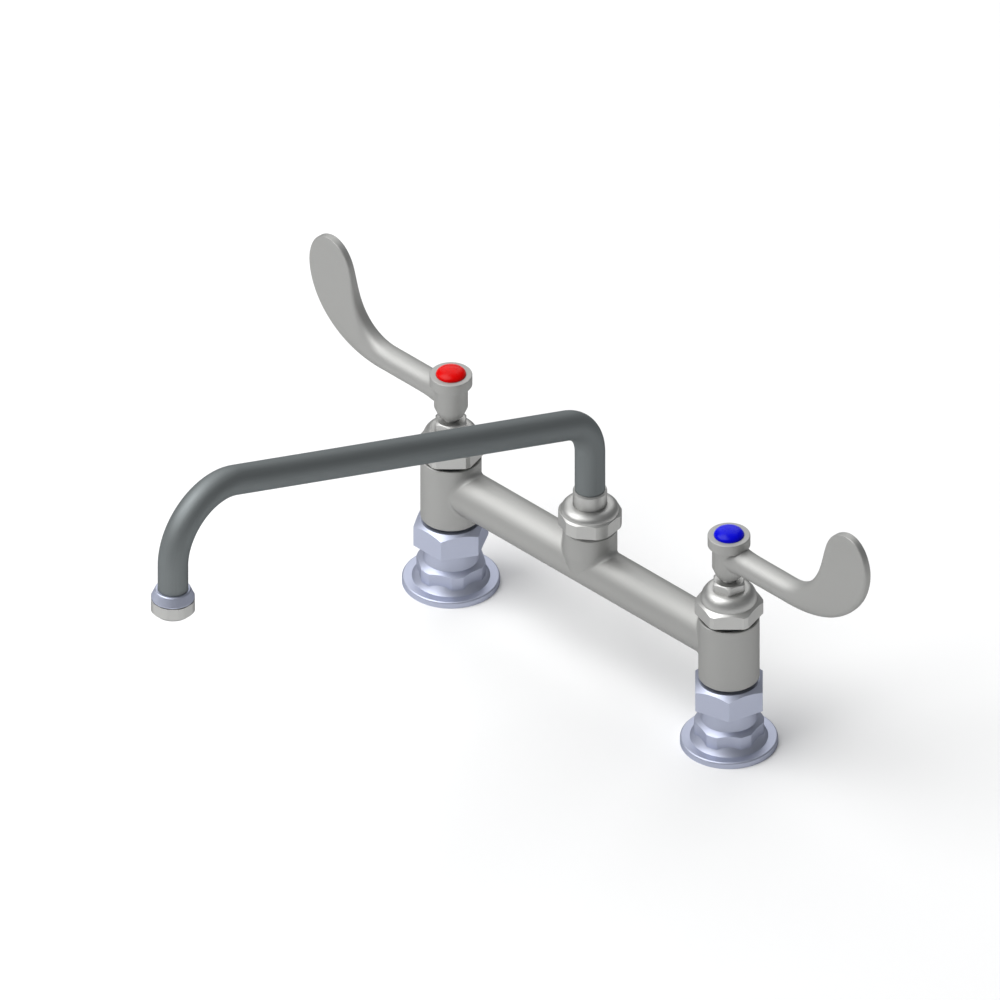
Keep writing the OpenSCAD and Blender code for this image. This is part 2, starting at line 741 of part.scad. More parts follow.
// The bonnet: spigot in the post, undercut, hexagon and dome
module bonnet(side) {
    dome_foot_r = bonnet_af / 2 * bonnet_foot_share;
    dome_top_r = dome_top_d / 2;
    spigot_out_r = chamber_r - run_gap;
    color(SATIN) at_post(side) difference() {
        union() {
            rod(spigot_out_r, z_bonnet, z_bonnet_hex + over);
            rod(gasket_r, z_gasket_top, z_bonnet_hex + over);
            turned_hex(bonnet_af, bonnet_corner_r, dome_foot_r, z_bonnet_hex, z_dome, bonnet_turn);
            turned(concat([[0, z_dome - over], [dome_foot_r, z_dome - over]],
                dome_arc(dome_foot_r, dome_top_r, z_dome, z_dome_top), [[0, z_dome_top]]));
        }
        rod(sleeve_r + run_gap, z_bonnet - over, z_collar_top + run_gap);
        rod(journal_r + run_gap, z_collar_top - over, z_packing + over);
        rod(packing_thread_r + run_gap, z_packing, z_dome_top + over);
    }
}

// Points of a quarter ellipse that rises from a foot radius to a top radius
function dome_arc(foot_r, top_r, z0, z1) =
    [for (i = [0 : arc_steps]) let (a = 90 * i / arc_steps)
        [top_r + (foot_r - top_r) * cos(a), z0 + (z1 - z0) * sin(a)]];

module bonnet_gasket(side) {
    color(RUBBER) at_post(side)
        sleeve_ring(gasket_r, chamber_r, z_post_top, z_gasket_top);
}

// Between these shares of its length the handle's centre line bends up, and the
// arm widens into the blade and thins.
bend_share = [0.354, 0.873];
widen_share = [0.315, 0.804];
thin_share = [0.276, 0.951];
// Length of the rounded tip against half of the blade's width, and the power of
// its superellipse
tip_share = 1.5;
tip_power = 2.2;
handle_steps = 40;
// Points around a quarter of the arm's section
quarter = 6;
handle_sides = 4 * quarter;
// At its root the arm grows by this share of what it lacks to the hub's width,
// and the growth fades out over a share of the arm's half width
root_share = 0.8;
root_fade_share = 0.45;
root_grow = root_share * (hub_d - arm_width) / 2;
root_fade = root_fade_share * arm_width / 2;
// The centre line starts where the arm's sides leave the hub's
arm_start = sqrt(pow(hub_d / 2, 2) - pow(arm_width / 2 + root_grow, 2));

// How far s has come from one share to another, straight and eased
function ramp(s, span) = min(max((s - span[0]) / (span[1] - span[0]), 0), 1);
function ease(s, span) = let (t = ramp(s, span)) t * t * (3 - 2 * t);

// Direction of the centre line at share s of its length
function heading(s) =
    let (a = blade_turn * ramp(s, bend_share) + tip_turn * ramp(s, [bend_share[1], 1]))
    [cos(a), sin(a)];

// Rings crowd together towards the hub and the tip
function ring_share(i) = let (t = i / handle_steps) 1 - pow(1 - (t + t * t) / 2, 1.5);

// What is left of the root's growth at share s, past a distance from the start
function root_left(s, past) =
    root_grow * exp(-max(s * (handle_l - arm_start) - past, 0) / root_fade);

// Centre line of the handle, summed from ring to ring
centre_line = [for (i = 0, p = [arm_start, z_arm];
    i <= handle_steps;
    p = p + (ring_share(i + 1) - ring_share(i)) * (handle_l - arm_start)
        * heading((ring_share(i) + ring_share(i + 1)) / 2), i = i + 1) p];

// Half of the handle's depth in its own plane, rounded off at the tip
function half_depth(s) =
    let (past = max(1 - (1 - s) * handle_l / (tip_share * blade_w / 2), 0))
    root_left(s, hub_d / 2 - arm_start)
        + (arm_depth + (blade_w - arm_depth) * ease(s, widen_share)) / 2
        * pow(1 - pow(past, tip_power), 1 / tip_power);

function half_thick(s) =
    root_left(s, 0) + (arm_width + (blade_t - arm_width) * ease(s, thin_share)) / 2;

// A quarter of a rectangle with round corners, as depth and thickness
function flat_quarter(d, t) =
    let (r = min(t, d) / 2)
    [for (k = [0 : quarter - 1]) k == 0 ? [d, 0]
        : k < 4 ? [d - r, t - r] + r * [cos(45 * (k - 1)), sin(45 * (k - 1))]
        : [(d - r) * (quarter - k) / (quarter - 3), t]];

// The section goes from an ellipse at the hub to a flat blade
function section_quarter(d, t, flat) =
    let (plate = flat_quarter(d, t))
    [for (k = [0 : quarter - 1]) let (a = 90 * k / quarter)
        (1 - flat) * [d * cos(a), t * sin(a)] + flat * plate[k]];

function section(d, t, flat) =
    let (q = section_quarter(d, t, flat), end = [0, t])
    concat(q, [end],
        [for (k = [quarter - 1 : -1 : 1]) [-q[k].x, q[k].y]],
        [for (k = [0 : quarter - 1]) [-q[k].x, -q[k].y]], [-end],
        [for (k = [quarter - 1 : -1 : 1]) [q[k].x, -q[k].y]]);

function handle_ring(i) =
    let (s = min(ring_share(i), last_share), p = centre_line[i], h = heading(s))
    [for (q = section(half_depth(s), half_thick(s), ease(s, thin_share)))
        [p.x - h.y * q.x, q.y, p.y + h.x * q.x]];

// The last ring keeps a short flat end that closes the tip
last_share = 0.9998;

module handle_arm() {
    points = [for (i = [0 : handle_steps]) each handle_ring(i)];
    last = handle_steps * handle_sides;
    faces = concat(
        [[for (k = [handle_sides - 1 : -1 : 0]) k]],
        [[for (k = [0 : handle_sides - 1]) last + k]],
        [for (i = [0 : handle_steps - 1]) for (k = [0 : handle_sides - 1])
            let (a = i * handle_sides + k, b = i * handle_sides + (k + 1) % handle_sides)
            each [[a, b, a + handle_sides], [b, b + handle_sides, a + handle_sides]]]);
    polyhedron(points, faces);
}

// Hub, head, arm and blade, with the socket for the spindle's drive
module handle(side) {
    hub_r = hub_d / 2;
    head_r = head_d / 2;
    taper_h = (hub_r - hub_foot_d / 2) * hub_taper_share;
    color(SATIN) at_post(side) {
        difference() {
            union() {
                turned([[0, z_hub], [hub_foot_d / 2, z_hub], [hub_r, z_hub + taper_h],
                    [hub_r, z_head - (head_r - hub_r) / 2], [head_r, z_head + (head_r - hub_r) / 4],
                    [head_r, z_head_top - edge], [head_r - edge, z_head_top],
                    [0, z_head_top]]);
                mirror([side > 0 ? 0 : 1, 0, 0]) handle_arm();
            }
            rod(spindle_r + run_gap, z_hub - over, z_drive + run_gap);
            translate([0, 0, z_drive]) rotate([0, 0, 45])
                cylinder(d = (drive_af + 2 * run_gap) / cos(45), h = drive_h, $fn = 4);
            rod(handle_screw_d / 2 + 2 * run_gap, z_drive, z_head);
            rod(screw_head_d / 2 + free_gap, z_well, z_button + over);
            rod(button_r + run_gap, z_button, z_head_top + over);
        }
    }
}

module handle_screw(side) {
    head_r = screw_head_d / 2;
    shank_r = handle_screw_d / 2;
    color(BRASS) at_post(side) difference() {
        turned([[0, z_drive + edge], [shank_r, z_drive + edge], [shank_r, z_well], [head_r, z_well],
            [head_r, z_well + screw_head_t / 2], [head_r / 2, z_well + screw_head_t],
            [0, z_well + screw_head_t]]);
        translate([0, 0, 2 * z_well + screw_head_t]) mirror([0, 0, 1])
            driver_slot(head_r, screw_head_t / 2, z_well);
    }
}

module index_button(side) {
    color(side < 0 ? RED : BLUE) at_post(side)
        turned(concat([[0, z_button], [button_r, z_button]],
            dome_arc(button_r, 0, z_head_top, z_head_top + button_dome_h)));
}

// The swivel nut screws on the boss and holds the snap ring down
module swivel_nut() {
    foot_r = swivel_af / 2 * swivel_foot_share;
    hole_r = ferrule_r + 2 * run_gap;
    color(SATIN) difference() {
        union() {
            turned_hex(swivel_af, swivel_corner_r, foot_r, z_swivel_nut, z_swivel_hex, swivel_turn);
            turned(concat([[0, z_swivel_hex - over], [foot_r, z_swivel_hex - over]],
                dome_arc(foot_r, ferrule_r + 2 * edge, z_swivel_hex, z_swivel_top), [[0, z_swivel_top]]));
        }
        rod(boss_neck_r + run_gap, z_swivel_nut - over, z_ceiling);
        rod(hole_r, z_ceiling - over, z_swivel_top + over);
    }
}

module swivel_washer() {
    color(NYLON)
        sleeve_ring(boss_neck_r - run_gap, ferrule_bore_r, z_boss_neck, z_snap - run_gap);
}

module swivel_snap_ring() {
    color(BRASS)
        split_ring(boss_neck_r - free_gap, ferrule_r - snap_depth + run_gap, z_snap, z_snap_top,
            2 * snap_t);
}

// Heights of the two O-rings on the ferrule
oring_share = [0.3, 0.62];
function z_oring(i) = z_ferrule + oring_share[i] * (z_boss_neck - z_ferrule);

module swivel_orings() {
    color(RUBBER) for (i = [0, 1]) oring(ferrule_r, swivel_oring_d, z_oring(i));
}

// The ferrule: barrel in the boss, grooves, and the socket that holds the tube
module spout_ferrule() {
    way_r = ferrule_r - swivel_oring_d - ferrule_wall;
    color(SATIN) difference() {
        turned([[way_r, z_ferrule], [ferrule_r - free_gap, z_ferrule],
            [ferrule_r, z_ferrule + free_gap], [ferrule_r, z_ferrule_top - 2 * edge],
            [ferrule_r - edge, z_ferrule_top], [way_r, z_ferrule_top]]);
        for (i = [0, 1])
            sleeve_ring(ferrule_r + over, ferrule_r - swivel_oring_d - run_gap,
                z_oring(i) - swivel_oring_d / 2 - 2 * run_gap, z_oring(i) + swivel_oring_d / 2 + 2 * run_gap);
        sleeve_ring(ferrule_r + over, ferrule_r - snap_depth, z_snap, z_snap_top);
        rod(tube_socket_r, z_tube - run_gap, z_ferrule_top + over);
    }
}

// Turns a drawing of the spout, out along X and up along Y, into its place
module in_spout_plane() {
    rotate([90, 0, -90]) children();
}

// The spout's centre line as a round solid of radius r, with open ends that
// reach past the tube's: riser, bend, run, bend and leg
module spout_sweep(r, past) {
    rod(r, z_tube - past, z_riser_top + lap);
    in_spout_plane() {
        translate([near_bend_r, z_riser_top]) rotate([0, 0, 180 - near_turn])
            spout_bend(r, near_bend_r, near_turn);
        translate([run_start.x, run_start.y]) rotate([0, 90, spout_slope])
            rod(r, -lap, run_l + lap);
        translate([spout_reach - far_bend_r, z_leg_top]) spout_bend(r, far_bend_r, far_turn);
    }
    at_outlet() rod(r, z_leg - past, z_leg_top + lap);
}

module spout_bend(r, bend_r, turn) {
    rotate_extrude(angle = turn) translate([bend_r, 0]) circle(r = r - draw_in);
}

module spout_tube() {
    color(TUBE) difference() {
        spout_sweep(tube_r, 0);
        spout_sweep(tube_way_r, over);
    }
}

// The adapter holds the tube's end and carries the aerator's thread
module outlet_adapter() {
    color(BRIGHT) at_outlet() difference() {
        turned([[0, z_outlet_thread], [outlet_r, z_outlet_thread], [outlet_r, z_band],
            [aerator_r - edge, z_band], [aerator_r - edge, z_band + edge],
            [tube_r + 3 * edge, z_band_top - edge], [tube_r + 2 * edge, z_band_top],
            [0, z_band_top]]);
        rod(tube_way_r, z_outlet_thread - over, z_leg);
        rod(tube_socket_r, z_leg, z_band_top + over);
    }
}

// The housing has eight flats for a spanner and a lip that holds the screen
module aerator_housing() {
    flat_r = aerator_r / cos(22.5) * housing_flat_share;
    foot = housing_h / 4;
    color(BRIGHT) at_outlet() difference() {
        intersection() {
            turned([[0, z_housing], [aerator_r - foot, z_housing], [aerator_r, z_housing + foot],
                [aerator_r, z_housing_top], [0, z_housing_top]]);
            translate([0, 0, z_housing]) rotate([0, 0, 22.5])
                cylinder(r = flat_r, h = housing_h, $fn = 8);
        }
        rod(outlet_r + run_gap, z_screen, z_housing_top + over);
        rod(outlet_r - housing_lip_t, z_housing - over, z_screen + over);
    }
}

module aerator_gasket() {
    color(RUBBER) at_outlet()
        sleeve_ring(outlet_r, tube_way_r, z_aerator_gasket, z_outlet_thread);
}

// Rings of holes through a disc: the number of holes grows with the ring
module hole_rings(rings, hole_r, pitch, z0, z1) {
    for (k = [1 : rings]) for (i = [0 : 6 * k - 1])
        rotate([0, 0, 60 * i / k]) translate([k * pitch, 0, 0]) rod(hole_r, z0 - over, z1 + over);
}

module aerator_insert() {
    rings = 2;
    pitch = outlet_r / (rings + 1);
    color(NYLON) at_outlet() difference() {
        rod(outlet_r, z_insert, z_aerator_gasket);
        hole_rings(rings, pitch / 4, pitch, z_insert, z_aerator_gasket);
    }
}

module aerator_screen() {
    rings = 3;
    pitch = outlet_r / (rings + 1);
    color(BRASS) at_outlet() difference() {
        rod(outlet_r, z_screen, z_insert);
        hole_rings(rings, pitch / 3, pitch, z_screen, z_insert);
    }
}

faucet_body();
inlet_flange(HOT);  // hot_inlet_flange
coupling_nut(HOT);  // hot_coupling_nut
coupling_ring(HOT);  // hot_coupling_ring
coupling_washer(HOT);  // hot_coupling_washer
valve_seat(HOT);  // hot_valve_seat
seat_washer(HOT);  // hot_seat_washer
washer_screw(HOT);  // hot_washer_screw
plunger(HOT);  // hot_plunger
guide_sleeve(HOT);  // hot_guide_sleeve
spindle(HOT);  // hot_spindle
spindle_oring(HOT);  // hot_spindle_oring
packing_ring(HOT);  // hot_packing_ring
packing_nut(HOT);  // hot_packing_nut
bonnet(HOT);  // hot_bonnet
bonnet_gasket(HOT);  // hot_bonnet_gasket
handle(HOT);  // hot_handle
handle_screw(HOT);  // hot_handle_screw
index_button(HOT);  // hot_index_button
inlet_flange(COLD);  // cold_inlet_flange
coupling_nut(COLD);  // cold_coupling_nut
coupling_ring(COLD);  // cold_coupling_ring
coupling_washer(COLD);  // cold_coupling_washer
valve_seat(COLD);  // cold_valve_seat
seat_washer(COLD);  // cold_seat_washer
washer_screw(COLD);  // cold_washer_screw
plunger(COLD);  // cold_plunger
guide_sleeve(COLD);  // cold_guide_sleeve
spindle(COLD);  // cold_spindle
spindle_oring(COLD);  // cold_spindle_oring
packing_ring(COLD);  // cold_packing_ring
packing_nut(COLD);  // cold_packing_nut
bonnet(COLD);  // cold_bonnet
bonnet_gasket(COLD);  // cold_bonnet_gasket
handle(COLD);  // cold_handle
handle_screw(COLD);  // cold_handle_screw
index_button(COLD);  // cold_index_button
swivel_nut();
swivel_washer();
swivel_snap_ring();
swivel_orings();
spout_ferrule();
spout_tube();
outlet_adapter();
aerator_housing();
aerator_gasket();
aerator_insert();
aerator_screen();
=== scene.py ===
"""Looks of a deck-mount mixing faucet: satin and bright plated metal, a drawn
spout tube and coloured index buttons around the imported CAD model.

Everything is in metres in the CAD frame: X runs from the hot post to the cold
post, the spout points along minus Y at rest, and the deck is at Z zero."""
import json
import math

import bpy
import numpy as np
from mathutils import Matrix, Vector


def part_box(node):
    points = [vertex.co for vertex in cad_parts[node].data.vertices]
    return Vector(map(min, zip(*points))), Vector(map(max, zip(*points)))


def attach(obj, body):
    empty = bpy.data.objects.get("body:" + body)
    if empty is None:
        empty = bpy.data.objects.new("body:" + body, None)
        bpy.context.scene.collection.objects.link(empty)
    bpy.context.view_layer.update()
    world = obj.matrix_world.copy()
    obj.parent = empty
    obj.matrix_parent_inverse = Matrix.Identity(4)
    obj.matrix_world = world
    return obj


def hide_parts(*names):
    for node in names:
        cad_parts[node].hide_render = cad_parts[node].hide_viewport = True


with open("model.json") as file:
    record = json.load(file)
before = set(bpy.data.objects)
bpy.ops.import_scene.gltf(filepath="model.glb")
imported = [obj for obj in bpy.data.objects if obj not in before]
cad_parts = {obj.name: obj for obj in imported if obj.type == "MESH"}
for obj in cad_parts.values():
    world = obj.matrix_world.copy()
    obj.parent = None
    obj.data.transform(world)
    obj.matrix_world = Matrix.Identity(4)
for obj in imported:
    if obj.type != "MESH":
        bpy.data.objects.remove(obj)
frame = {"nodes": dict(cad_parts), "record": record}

bl_info = {
    "name": "Deck-mount faucet",
    "version": (1, 0, 0),
    "blender": (4, 5, 0),
    "location": "3D View > Sidebar > Faucet",
    "description": "Builds the visible pieces of a deck-mount mixing faucet around its CAD frame",
    "category": "Object",
}

SLOT_OF = {row["node"]: row["material_slot"] for row in frame["record"]["subparts"]}
SIDES = ("hot", "cold")
# Reflection tint at grazing angles: painted shade that darkens the metals a little towards their
# outlines
OUTLINE_SHADE = (0.12, 0.12, 0.13, 1.0)
# A chamfer on a hexagon falls by this share of the way out
CHAMFER = 0.58
# Play round a piece that turns or is pressed in
GAP = 5e-5
# How far the fillets' ends lie under the surfaces that they join
SINK = 4e-5
# Places of the lamps and what they look at
KEY_AT = (-0.98, -1.42, 2.84)
BACK_AT = (-1.7, 1.65, 2.15)
AIM = (-0.02, -0.08, 0.1)


def length(name, description, default, low=0.0):
    """A length property in metres."""
    return bpy.props.FloatProperty(name=name, description=description, default=default,
                                   unit="LENGTH", precision=5, min=low)


def turn(name, description, degrees):
    """An angle property, given in degrees and kept in radians."""
    return bpy.props.FloatProperty(name=name, description=description,
                                   default=math.radians(degrees), unit="ROTATION")


def share(name, description, default):
    """A share or ratio, which has no unit."""
    return bpy.props.FloatProperty(name=name, description=description, default=default,
                                   min=0.0, precision=3)


def power(name, description, watts):
    """A lamp's power in watts."""
    return bpy.props.FloatProperty(name=name, description=description, default=watts,
                                   unit="POWER", min=0.0)


def linear(code):
    """Linear RGBA of an sRGB hex colour."""
    parts = [int(code[i:i + 2], 16) / 255 for i in (1, 3, 5)]
    return tuple(c / 12.92 if c <= 0.04045 else ((c + 0.055) / 1.055) ** 2.4
                 for c in parts) + (1.0,)


def colour(name, description, code):
    """A colour property whose default is an sRGB hex colour."""
    return bpy.props.FloatVectorProperty(name=name, description=description, size=3,
                                         subtype="COLOR", default=linear(code)[:3],
                                         min=0.0, max=1.0)


class FaucetSpoutSizes(bpy.types.PropertyGroup):
    """Spout tube"""
    tube_d: length("Tube diameter", "Outer diameter of the spout tube", 0.015875)
    wall: length("Tube wall", "Wall of the spout tube", 0.00125)
    slope: turn("Slope", "Rise of the spout's run above level", 19.7)
    apex_z: length("Near apex", "Height where the riser's axis meets the run's axis", 0.1512)
    near_r: length("Near bend", "Radius of the bend above the riser", 0.027)
    far_r: length("Far bend", "Radius of the bend above the outlet", 0.0335)
    leg: length("Leg", "Straight length of tube below the far bend", 0.0183)


class FaucetHandleSizes(bpy.types.PropertyGroup):
    """Handles"""
    hub_d: length("Hub", "Diameter of the hub", 0.0176)
    foot_d: length("Hub foot", "Diameter at the bottom of the hub's taper", 0.0134)
    hub_h: length("Hub height", "Height of the hub below its head", 0.0186)
    head_d: length("Head", "Diameter of the head on the hub", 0.0222)
    head_h: length("Head height", "Height of the head", 0.0065)
    bore_d: length("Bore", "Diameter of the socket for the spindle", 0.0081)
    arm_rise: length("Arm rise", "Height of the arm's axis above the hub's foot", 0.0127)
    arm_depth: length("Arm depth", "Depth of the arm at the hub", 0.013)
    arm_width: length("Arm width", "Width of the arm at the hub", 0.0144)
    line: length("Length", "Length of the handle along its centre line", 0.1244)
    blade_w: length("Blade width", "Width of the blade", 0.0313)
    blade_t: length("Blade thickness", "Thickness of the blade", 0.0042)
    blade_turn: turn("Blade turn", "Angle between the arm and the blade", 88)
    tip_turn: turn("Tip turn", "Angle by which the tip turns further", 8.5)
    root: length("Root growth", "How far the arm's sides grow out at the hub", 0.00128)
    root_fade: length("Root fade", "Distance over which the root's growth fades", 0.00324)
    edge: length("Edge", "Radius of the head's edge", 0.0005)
    foot_edge: length("Foot's edge", "Bevel at the hub's foot", 0.0002)
    well_d: length("Well", "Diameter of the well for the screw's head", 0.0078)
    screw_d: length("Screw's hole", "Diameter of the hole for the screw", 0.0033)
    web: length("Web", "Thickness of the web under the screw's head", 0.0023)


class FaucetBodySizes(bpy.types.PropertyGroup):
    """Posts, bar and boss"""
    bar_d: length("Bar", "Diameter of the bar", 0.024)
    bar_z: length("Bar height", "Height of the bar's axis", 0.0618)
    post_d: length("Post", "Diameter of a post", 0.03175)
    boss_d: length("Boss", "Diameter of the boss", 0.0284)
    boss_rise: length("Boss rise", "Height of the boss above the bar's axis", 0.0236)
    taper_top: share("Taper's top", "Top of the boss's taper as a share of its rise", 0.39)
    taper_foot: share("Taper's foot", "Foot of the boss's taper as a share of its rise", 0.08)
    fillet_r: length("Fillet", "Radius of the fillets on the bar", 0.0037)
    boss_from: turn("Boss fillet's start", "Turn round the bar where it starts", 22)


class FaucetFlangeSizes(bpy.types.PropertyGroup):
    """Inlet flanges"""
    d: length("Rim", "Diameter of the flange's rim", 0.0508)
    edge_r: length("Rim's edge", "Radius of the rounding on the rim", 0.0011)
    thick: length("Rim's thickness", "Height of the rim above the deck", 0.0036)
    step_d: length("Step", "Diameter of the step on the rim", 0.0406)
    step_h: length("Step's height", "Rise of the step from the rim to the hexagon", 0.0042)
    af: length("Hexagon", "Size of the hexagon across its flats", 0.034)
    corner_r: length("Corners", "Radius that the hexagon's corners are turned to", 0.018105)
    hex_z: length("Hexagon's top", "Height of the hexagon's top", 0.0163)
    neck_r: length("Neck", "Radius of the threaded neck", 0.0135)
    neck_z: length("Neck's foot", "Height where the cone meets the neck", 0.020905)
    edge: length("Cone's inset", "How far the cone's foot lies inside the flats", 0.0005)
    inlet_d: length("Inlet", "Diameter of the tapped inlet", 0.0186)
    inlet_l: length("Inlet's depth", "Depth of the tapped inlet", 0.014)
    way_d: length("Way", "Diameter of the water way above the inlet", 0.016)
    turn_hot: turn("Hot turn", "Turn of the hot flange's hexagon", 26.4)
    turn_cold: turn("Cold turn", "Turn of the cold flange's hexagon", 45)


class FaucetNutSizes(bpy.types.PropertyGroup):
    """Coupling nuts"""
    af: length("Hexagon", "Size of the coupling nut across its flats", 0.034925)
    corner_r: length("Corners", "Radius that the nut's corners are turned to", 0.020047)
    top_r: length("Top", "Radius of the flat top inside the chamfer", 0.015925)
    lip_r: length("Lip", "Radius of the hole in the nut's lip", 0.0121)
    lip_t: length("Lip's thickness", "Thickness of the nut's lip", 0.003)
    bore_r: length("Bore", "Radius of the threaded bore", 0.01355)
    turn_hot: turn("Hot turn", "Turn of the hot nut", 0)
    turn_cold: turn("Cold turn", "Turn of the cold nut", 15)


class FaucetBonnetSizes(bpy.types.PropertyGroup):
    """Bonnets and packing nuts"""
    af: length("Hexagon", "Size of the bonnet across its flats", 0.032)
    corner_r: length("Corners", "Radius that the bonnet's corners are turned to", 0.01776)
    hex_h: length("Hexagon's height", "Height of the bonnet's hexagon", 0.0086)
    dome_r: length("Dome's foot", "Radius of the dome where it leaves the hexagon", 0.01472)
    dome_top_r: length("Dome's top", "Radius of the dome's flat top", 0.009)
    dome_h: length("Dome's height", "Height of the dome", 0.0073)
    spigot_r: length("Spigot", "Radius of the spigot in the post", 0.01195)
    seat_r: length("Collar", "Radius of the collar on the gasket", 0.014075)
    seat_h: length("Collar's height", "Height of the collar on the gasket", 0.0014)
    sleeve_r: length("Sleeve's bore", "Radius of the bore for the guide sleeve", 0.009135)
    sleeve_l: length("Sleeve's depth", "Depth of the bore for the guide sleeve", 0.0132)
    journal_r: length("Journal's bore", "Radius of the bore for the spindle", 0.00505)
    packing_r: length("Packing's bore", "Radius of the bore for the packing nut", 0.00645)
    packing_l: length("Packing's depth", "Depth of the bore for the packing nut", 0.0093)
    turn: turn("Turn", "Turn of the bonnet's hexagon", 45)
    nut_af: length("Packing nut", "Size of the packing nut across its flats", 0.016)
    nut_corner_r: length("Packing nut's corners", "Radius that its corners are turned to", 0.00896)
    nut_h: length("Packing nut's height", "Height of its hexagon", 0.0049)
    nut_top_r: length("Packing nut's top", "Radius of its flat top", 0.0075)
    nut_thread_r: length("Packing nut's thread", "Radius of its thread", 0.0064)
    nut_bore_r: length("Packing nut's bore", "Radius of its hole for the spindle", 0.00405)
    nut_turn: turn("Packing nut's turn", "Turn of the packing nut", 15)


class FaucetSwivelSizes(bpy.types.PropertyGroup):
    """Swivel nut and ferrule"""
    af: length("Hexagon", "Size of the swivel nut across its flats", 0.0314)
    corner_r: length("Corners", "Radius that the nut's corners are turned to", 0.016485)
    hex_h: length("Hexagon's height", "Height of the nut's hexagon", 0.0083)
    dome_r: length("Dome's foot", "Radius of the dome where it leaves the hexagon", 0.015229)
    dome_top_r: length("Dome's top", "Radius of the dome's top", 0.0099)
    bore_r: length("Bore", "Radius of the bore over the boss", 0.01245)
    bore_l: length("Bore's depth", "Depth of the bore over the boss", 0.008)
    hole_r: length("Hole", "Radius of the hole for the ferrule", 0.009)
    turn: turn("Turn", "Turn of the swivel nut", 37.8)
    ferrule_r: length("Ferrule", "Radius of the ferrule", 0.0089)
    ferrule_way_r: length("Ferrule's way", "Radius of the water way in the ferrule", 0.0061)
    ferrule_edge: length("Ferrule's edge", "Size of the bevel on the ferrule", 0.0005)
    ferrule_inset: length("Ferrule's foot", "Size of the bevel at its foot", 0.0003)
    socket_r: length("Socket", "Radius of the socket for the tube", 0.0079875)
    socket_l: length("Socket's depth", "Depth of the socket for the tube", 0.00995)
    groove_r: length("Grooves", "Radius of the floor of the O-rings' grooves", 0.00705)
    groove_h: length("Grooves' height", "Height of a groove for an O-ring", 0.002)
    groove_low: length("Lower groove", "Height of the lower groove's middle", 0.00726)
    groove_high: length("Upper groove", "Height of the upper groove's middle", 0.015004)
    snap_r: length("Snap groove", "Radius of the floor of the snap ring's groove", 0.0077)
    snap_h: length("Snap groove's height", "Height of the snap ring's groove", 0.0012)
    snap_z: length("Snap groove's foot", "Height where the snap ring's groove starts", 0.02525)


class FaucetOutletSizes(bpy.types.PropertyGroup):
    """Outlet adapter and aerator housing"""
    thread_r: length("Thread", "Radius of the adapter's thread", 0.0103)
    band_r: length("Band", "Radius of the adapter's band", 0.01125)
    band_h: length("Band's height", "Height of the adapter's band", 0.0054)
    edge: length("Edge", "Size of the steps and bevels on the adapter", 0.0005)
    top_r: length("Top", "Radius of the adapter's flat top", 0.0089375)
    socket_r: length("Socket", "Radius of the socket for the tube", 0.0079875)
    socket_l: length("Socket's depth", "Depth of the socket for the tube", 0.0038)
    way_r: length("Way", "Radius of the water way", 0.0066875)
    af: length("Housing", "Size of the aerator's housing across its flats", 0.022795)
    corner_r: length("Housing's corners", "Radius that its corners are turned to", 0.01175)
    foot: length("Housing's foot", "Size of the bevel at the foot of the housing", 0.002175)
    seat_r: length("Housing's bore", "Radius of the bore for insert and screen", 0.01035)
    lip_r: length("Lip", "Radius of the hole that the water leaves by", 0.0088)
    lip_t: length("Lip's thickness", "Thickness of the lip under the screen", 0.0015)
    turn: turn("Turn", "Turn of the housing's eight flats", 22.5)


class FaucetButtonSizes(bpy.types.PropertyGroup):
    """Index buttons"""
    dome_h: length("Dome", "Height of the button's dome above the head", 0.0036)
    edge: length("Edge", "Bevel at the button's foot", 0.0002)


class FaucetFinishes(bpy.types.PropertyGroup):
    """Colours of the finishes that show"""
    satin: colour("Satin castings", "Body and handles", "#B5B5B3")
    turned: colour("Turned fittings", "Bonnets, nuts, spindles and aerator", "#BFBFBD")
    bright: colour("Bright plating", "Flanges, coupling nuts and adapter", "#BCC1D3")
    tube: colour("Spout tube", "Drawn tube of the spout", "#888D8E")
    red: colour("Hot", "Hot index button", "#E60000")
    blue: colour("Cold", "Cold index button", "#0000DC")


class FaucetStageSettings(bpy.types.PropertyGroup):
    """Floor, light and view"""
    floor: colour("Floor", "Colour of the floor", "#FAFAFA")
    sky: colour("Sky", "Colour of the light from all round", "#F4F6F8")
    size: length("Floor size", "Side of the square floor", 8.0)
    key: power("Key", "Power of the lamp above the front", 122.0)
    back: power("Back", "Power of the soft box at the back", 36.0)
    world: share("World", "Strength of the light from all round", 0.2)
    lamp_size: length("Lamps", "Side of each square lamp", 3.0)
    view_w: length("View", "Width that the picture shows, as in the photograph", 0.5168)
    view_x: length("Across", "Picture's centre, right of the frame's origin", -0.0465, -1.0)
    view_y: length("Up", "Picture's centre, above the frame's origin", 0.08295, -1.0)


def axis_of(side):
    """X of a post's axis, from the box of its index button."""
    low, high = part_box(side + "_index_button")
    return (low.x + high.x) / 2


def grid_faces(rows, cols, wrap_rows):
    """Quads of a grid whose columns always wrap, as an array of corner numbers, and the
    column and row of each corner, counted on past the seams."""
    i, j = np.indices((rows if wrap_rows else rows - 1, cols)).reshape(2, -1)
    row = np.stack([i, i, i + 1, i + 1], axis=-1)
    col = np.stack([j, j + 1, j + 1, j], axis=-1)
    return row % rows * cols + col % cols, np.stack([col, row], axis=-1)


def signed_volume(points, quads):
    """Six times the volume that the quads enclose, positive where they face outwards."""
    a, b, c, d = (points[quads[:, k]] for k in range(4))
    return float((a * np.cross(b, c)).sum() + (a * np.cross(c, d)).sum())


